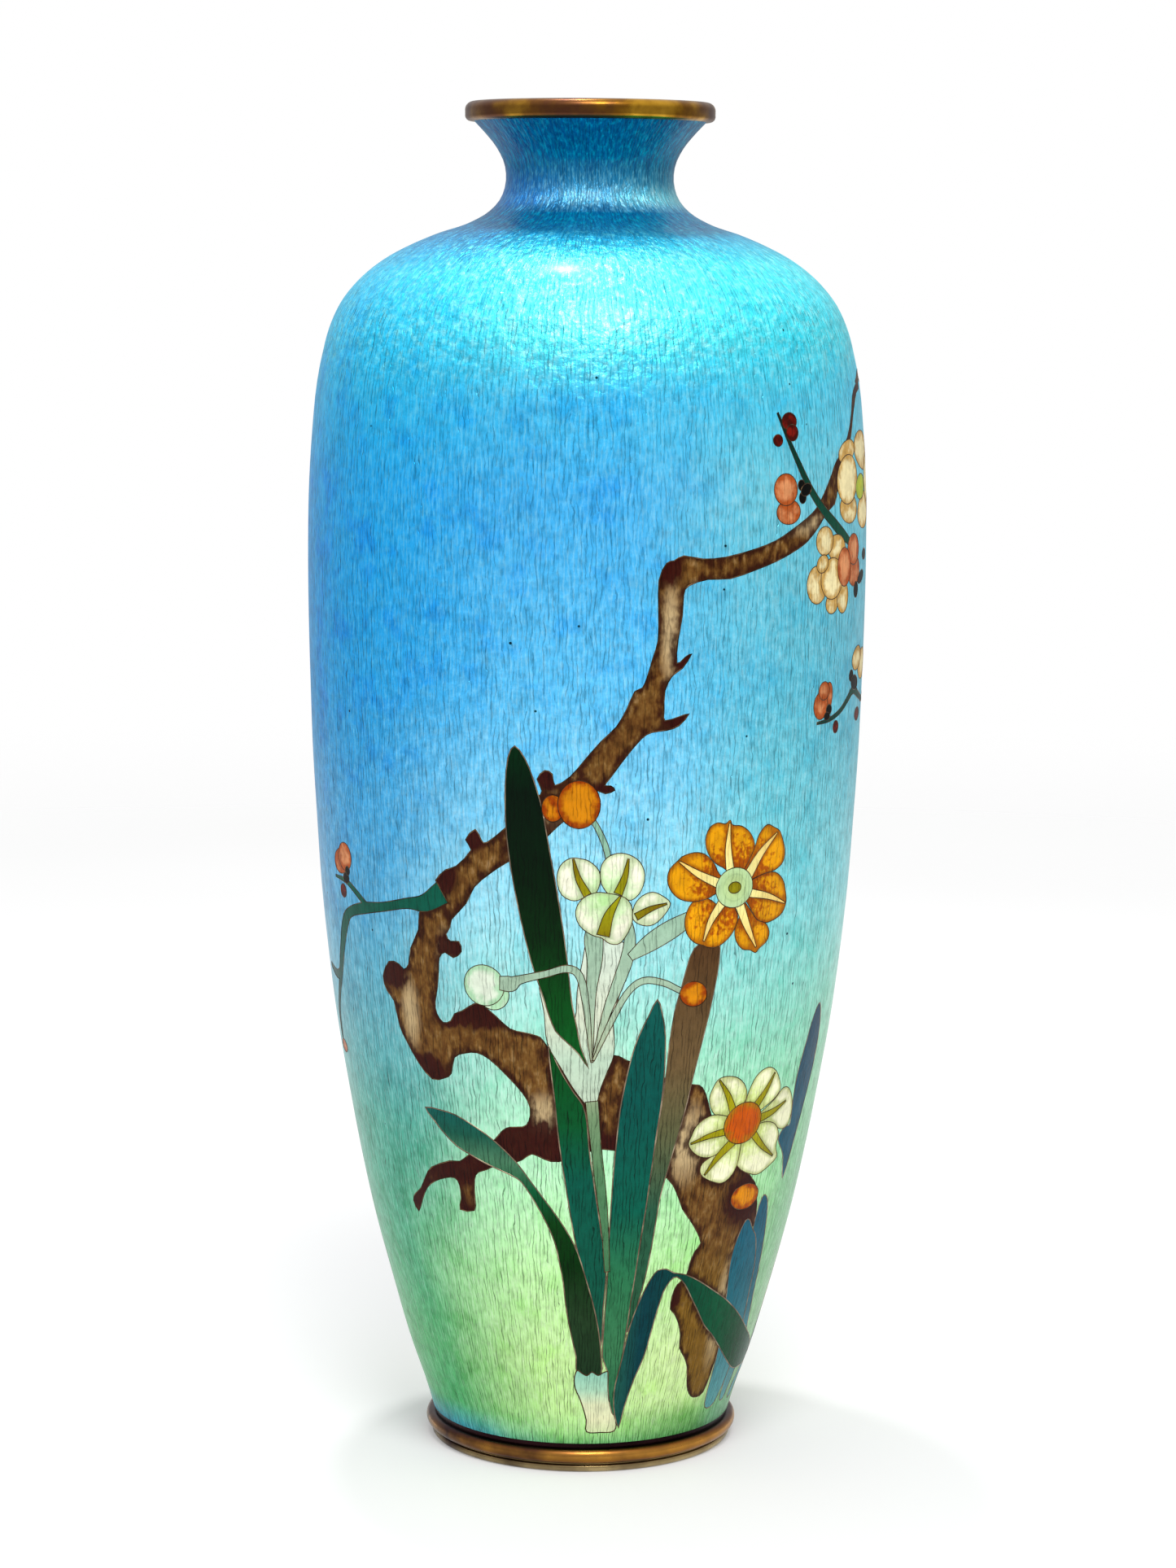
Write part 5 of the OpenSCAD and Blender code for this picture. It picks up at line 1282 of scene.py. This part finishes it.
def worn(name, paint, rough, grain):
    """Scratched metal. paint(shader, stain) gives its colour from a blotchy stain."""
    shader = Shader(name)
    place = shader.add("TexCoord").outputs["Object"]
    stain = shader.noise(shader.scaled(place, 1 / MM, 1 / MM, 1 / MM), 1 / grain, 4.0)
    scratches = shader.noise(shader.scaled(place, 300, 300, 6000), 1.0, 3.0)
    bump = shader.add("Bump", {"Strength": 0.25, "Distance": 0.00006, "Height": scratches})
    shine = shader.span(stain, 0.3, 0.7, rough + 0.1, rough - 0.05, False)
    shader.surface(base_color=paint(shader, stain), metallic=1.0, roughness=shine,
                   normal=bump.outputs[0])
    return shader.material


def tarnish_and_left_shade(shader, stain, colour, dark):
    """Darkens a metal in blotches of tarnish, and with painted shade most of all round its left side."""
    side = shader.part(shader.add("TexCoord").outputs["Object"], "X")
    # Painted shade darkens the left side, where X is negative; the stain adds blotches of tarnish.
    tarnish_and_shade = shader.math("ADD", shader.span(side, -0.03, 0.02, 0.75, 0.1),
                         shader.span(stain, 0.35, 0.65, 0.3, -0.3, False))
    return shader.mix(tarnish_and_shade, colour, dark)


def paint_rim(shader, stain):
    """Bronze gone brown, with a purple tarnish in blotches and painted shade down its left side."""
    colour = shader.ramp(stain, [[0.35, (88, 54, 12)], [0.5, (140, 96, 18)],
                                 [0.66, (196, 148, 46)]])
    return tarnish_and_left_shade(shader, stain, colour, (92, 56, 44))


def paint_foot(shader, stain):
    """Olive lip, golden bead with a painted highlight along its upper side, and painted shade, nearly
    black, in the groove under the enamel.
    """
    # Painted highlight at 3.4 mm on the bead's upper side; painted shade from 4.3 mm up in the groove.
    bands = [[0, (190, 172, 130)], [1.4, (160, 134, 86)], [1.6, (64, 40, 20)],
             [2.0, (140, 92, 34)], [3.4, (196, 138, 60)], [3.9, (120, 74, 30)],
             [4.3, (34, 18, 18)], [5.2, (20, 10, 16)]]
    return tarnish_and_left_shade(shader, stain, by_height(bands)(shader), (48, 26, 30))


def glaze(name, dark, light):
    """Plain opaque counter enamel, a little uneven."""
    shader = Shader(name)
    place = shader.add("TexCoord").outputs["Object"]
    cloud = shader.noise(place, 90.0, 5.0)
    colour = shader.ramp(cloud, [[0.3, dark], [0.7, light]])
    bump = shader.add("Bump", {"Strength": 0.3, "Distance": 0.0004,
                               "Height": shader.noise(place, 240.0, 2.0)})
    shader.surface(base_color=colour, roughness=0.3, normal=bump.outputs[0],
                   coat_weight=0.6, coat_roughness=0.08)
    return shader.material



# --- Turned pieces -------------------------------------------------------------------

TURN = 180  # steps in a full turn
AXIS = 0.02  # radius of the pinhole where a disc meets the axis, in mm
RIM_DEPTH = 3.0  # from the enamel's surface to the rim mount's bore, in mm
FOOT_DEPTH = 3.6  # from the enamel's surface to the foot mount's bore, in mm
FOOT_TOP = PROFILE[0][0]  # where the enamel meets the foot mount, in mm
LINING, LINING_INSIDE = 2.0, 2.6  # depths of the counter enamel's two faces, in mm


def lathe(name, outline, material):
    """A solid turned from a closed outline of [radius, height] in mm."""
    mesh = bpy.data.meshes.new(name)
    n = len(outline)
    points, faces = [], []
    for i in range(TURN):
        a = 2 * math.pi * i / TURN
        points += [(r * math.sin(a) * MM, -r * math.cos(a) * MM, z * MM) for r, z in outline]
    for i in range(TURN):
        j = (i + 1) % TURN
        for k in range(n):
            q = (k + 1) % n
            faces.append((i * n + k, j * n + k, j * n + q, i * n + q))
    mesh.from_pydata(points, [], faces)
    mesh.materials.append(material)
    mesh.validate()
    mesh.shade_smooth()
    mesh.set_sharp_from_angle(angle=math.radians(38))
    return add_object(name, mesh)


def arc(centre, r, start, end, n=8):
    """Points [radius, height] along an arc, with its angles in degrees."""
    a = np.radians(np.linspace(start, end, n))
    return np.c_[centre[0] + r * np.cos(a), centre[1] + r * np.sin(a)].tolist()


def wall_line(depth, z_from, z_to, n):
    """Points [radius, height] of the wall at a depth in mm."""
    s = np.linspace(length_at(z_from), length_at(z_to), n)
    radial, upward = normal_at(s)
    return np.c_[radius_at(s) - depth * radial, height_at(s) - depth * upward].tolist()


def stand_in(piece, *nodes):
    """A finished piece takes the place of its CAD nodes."""
    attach(piece, "root")
    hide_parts(*nodes)


def rim_outline():
    """Rolled band, round at its lip and at its lower edge, with a short straight face between."""
    low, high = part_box("rim_mount")
    outer, bottom, top = high.x / MM, low.z / MM, high.z / MM
    bore = radius_at(FULL_LENGTH) - RIM_DEPTH
    edge, roll, lip = 1.0, 1.45, 1.3
    return (
        [[bore + 0.3, bottom], [outer - 1.9, bottom]]
        + arc([outer - edge, bottom + edge], edge, -80, 10)
        + arc([outer - roll, top - roll], roll, 0, 90, 12)
        + arc([bore + lip, top - lip], lip, 90, 180, 10)
        + [[bore, bottom + 0.3]]
    )


def foot_outline():
    """Turned ring: a groove under the enamel, a bead, and a thin lip to stand on."""
    _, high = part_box("foot_mount")
    outer, top = high.x / MM, high.z / MM
    inner = radius_at(0.0) - FOOT_DEPTH
    bead, lip, neck = 1.35, 0.7, outer - 1.5
    return (
        [[inner, 0.0], [outer - 2.0, 0.0]]
        + arc([outer - 1.0 - lip, lip], lip, -80, 70, 8)
        + [[neck, 1.6]]
        + arc([outer - bead, 2.95], bead, -70, 82, 14)
        + [[neck, 4.35], [neck, top], [inner, top]]
    )


def lining_outline():
    """Counter enamel of the body, a closed layer from the base up to the mouth."""
    floor = FOOT_TOP + 1.0
    return (
        [[AXIS, floor], [radius_at(length_at(6.4)) - 2.1, floor]]
        + wall_line(LINING, 7.2, 236.5, 90)
        + wall_line(LINING_INSIDE, 236.5, 7.9, 90)
        + [[AXIS, floor + LINING_INSIDE - LINING]]
    )


def under_outline():
    """Counter enamel under the base, a thin disc."""
    edge = radius_at(0.0) - FOOT_DEPTH - 0.1
    return [[AXIS, 4.6], [edge, 4.6], [edge, 5.15], [AXIS, 5.15]]


# --- Building --------------------------------------------------------------------------

def cells_by(key):
    """The numbers of the cells, grouped by their node or by their wires."""
    groups = {}
    for i, c in enumerate(CELLS):
        groups.setdefault(c[key], []).append(i)
    return groups.items()


def build_enamels():
    for node, labels in cells_by("node"):
        solid = Solid()
        for label in labels:
            slab(solid, label)
        paint, shine, depth = PAINTS[node]
        material = enamel(node + "_glass", paint, shine, depth, sparkle=0.3, lift=0.84)
        stand_in(solid.build("cell_" + node, material), node)
    ground = Solid()
    slab(ground, GROUND)
    material = enamel("ground_glass", paint_ground)
    stand_in(ground.build("cell_ground", material), "ground_enamel")


def build_wires():
    silver = metal("wire_silver", [(84, 68, 54), (122, 102, 84), (166, 148, 124)], 0.34, 3.0)
    dark = metal("wire_toned", [(40, 26, 16), (70, 50, 34), (112, 88, 62)], 0.42, 2.0)
    for node, labels in cells_by("wires"):
        solid = Solid()
        for label in labels:
            for run in chains(label):
                ribbon(solid, run, CELLS[label]["wire"])
        stand_in(solid.build("bent_" + node, silver if node == "leaf_wires" else dark), node)


def build_turned():
    stand_in(lathe("rim_band", rim_outline(), worn("rim_brass", paint_rim, 0.26, 8.0)),
             "rim_mount")
    stand_in(lathe("foot_band", foot_outline(), worn("foot_brass", paint_foot, 0.28, 7.0)),
             "foot_mount")
    counter = glaze("counter_glaze", (38, 88, 96), (66, 124, 128))
    stand_in(lathe("lining", lining_outline(), counter), "inner_counter_enamel")
    stand_in(lathe("under_base", under_outline(), counter), "base_counter_enamel")


def paint_frame():
    """Materials of the CAD pieces that stay: the copper and the silver foil."""
    copper = metal("copper_spun", [(140, 76, 54), (188, 112, 80), (214, 142, 108)], 0.4, 6.0)
    leaf = metal("foil_silver", [(196, 196, 192), (222, 222, 218), (236, 236, 232)], 0.35, 2.0)
    for node, material in (("copper_body", copper), ("copper_base", copper),
                           ("silver_foil", leaf)):
        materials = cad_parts[node].data.materials
        materials.clear()
        materials.append(material)


# --- Stage -------------------------------------------------------------------------------

VIEW_FROM = (0.0, -0.704, 0.215)  # where the camera stands, in metres
VIEW_AT = (0.0, 0.0, 0.120)
SENSOR = 36.0  # length of the picture's long side on the film, in mm
LENS = 90.8  # focal length, in mm
ROLL = 0.43  # how far the camera leans, in degrees
SHIFT = (0.0017, -0.0028)  # sideways and upward shift of the picture
FLOOR = 1.2  # half the floor's width, in metres
FADE_FROM, FADE_TO = 0.4, 1.1  # how far out the floor starts and ends fading, in metres


def aim(obj, target, roll=0.0):
    """Points -Z of an object at a target, then leans it about that line."""
    way = Vector(target) - obj.location
    lean = Quaternion((0, 0, 1), math.radians(roll))
    obj.rotation_euler = (way.to_track_quat("-Z", "Y") @ lean).to_euler()


def softbox(name, place, target, size, power):
    """A round white lamp, size in metres and power in watts."""
    data = bpy.data.lights.new(name, "AREA")
    data.shape = "ELLIPSE"
    data.size = data.size_y = size
    data.energy = power
    obj = add_object(name, data)
    obj.location = place
    aim(obj, target)
    return obj


def studio_world():
    """A white sky that dims towards the horizon, behind a plain white backdrop."""
    world = bpy.data.worlds.new("studio")
    world.use_nodes = True
    nodes, links = world.node_tree.nodes, world.node_tree.links
    nodes.clear()
    way = nodes.new("ShaderNodeTexCoord")
    split = nodes.new("ShaderNodeSeparateXYZ")
    links.new(way.outputs["Generated"], split.inputs[0])
    climb = nodes.new("ShaderNodeMapRange")
    climb.interpolation_type = "SMOOTHSTEP"
    links.new(split.outputs["Z"], climb.inputs["Value"])
    for key, value in (("From Min", 0.0), ("From Max", 0.9), ("To Min", 0.46), ("To Max", 1.04)):
        climb.inputs[key].default_value = value
    sky, backdrop = nodes.new("ShaderNodeBackground"), nodes.new("ShaderNodeBackground")
    links.new(climb.outputs["Result"], sky.inputs["Strength"])
    sky.inputs["Color"].default_value = backdrop.inputs["Color"].default_value = WHITE
    rays = nodes.new("ShaderNodeLightPath")
    pick = nodes.new("ShaderNodeMixShader")
    links.new(rays.outputs["Is Camera Ray"], pick.inputs[0])
    links.new(sky.outputs[0], pick.inputs[1])
    links.new(backdrop.outputs[0], pick.inputs[2])
    links.new(pick.outputs[0], nodes.new("ShaderNodeOutputWorld").inputs["Surface"])
    return world


def build_floor():
    """Pale floor that lights the vase a little from below and fades out with distance."""
    shader = Shader("studio_floor")
    spot = shader.add("TexCoord").outputs["Object"]
    tone = shader.ramp(shader.noise(spot, 3.0), [[0.3, (0.58, 0.58, 0.58, 1)],
                                                 [0.7, (0.62, 0.62, 0.62, 1)]])
    far = shader.add("VectorMath", {0: spot}, operation="LENGTH").outputs["Value"]
    shader.surface(base_color=tone, roughness=0.75, emission_color=WHITE,
                   emission_strength=0.21, specular_ior_level=0.0,
                   alpha=shader.span(far, FADE_FROM, FADE_TO, 1.0, 0.0))
    mesh = bpy.data.meshes.new("studio_floor")
    corners = [(-1, -1), (1, -1), (1, 1), (-1, 1)]
    mesh.from_pydata([(x * FLOOR, y * FLOOR, 0) for x, y in corners], [], [(0, 1, 2, 3)])
    mesh.materials.append(shader.material)
    return add_object("studio_floor", mesh)


def build_camera():
    data = bpy.data.cameras.new("view")
    data.lens = LENS
    data.sensor_width = SENSOR
    data.shift_x, data.shift_y = SHIFT
    data.clip_start = 0.01
    camera = add_object("view", data)
    camera.location = VIEW_FROM
    aim(camera, VIEW_AT, ROLL)
    bpy.context.scene.camera = camera


def build_stage():
    floor = build_floor()
    lamps = [
        softbox("front", (0.1, -0.8, 1.25), (0, 0, 0.12), 0.6, 13.0),
        softbox("overhead", (-0.07, 0.16, 0.95), (0, 0, 0.2), 0.07, 2.8),
    ]
    bpy.context.scene.world = studio_world()
    build_camera()
    bpy.context.scene.view_settings.view_transform = "Standard"


build_enamels()
build_wires()
build_turned()
paint_frame()
build_stage()
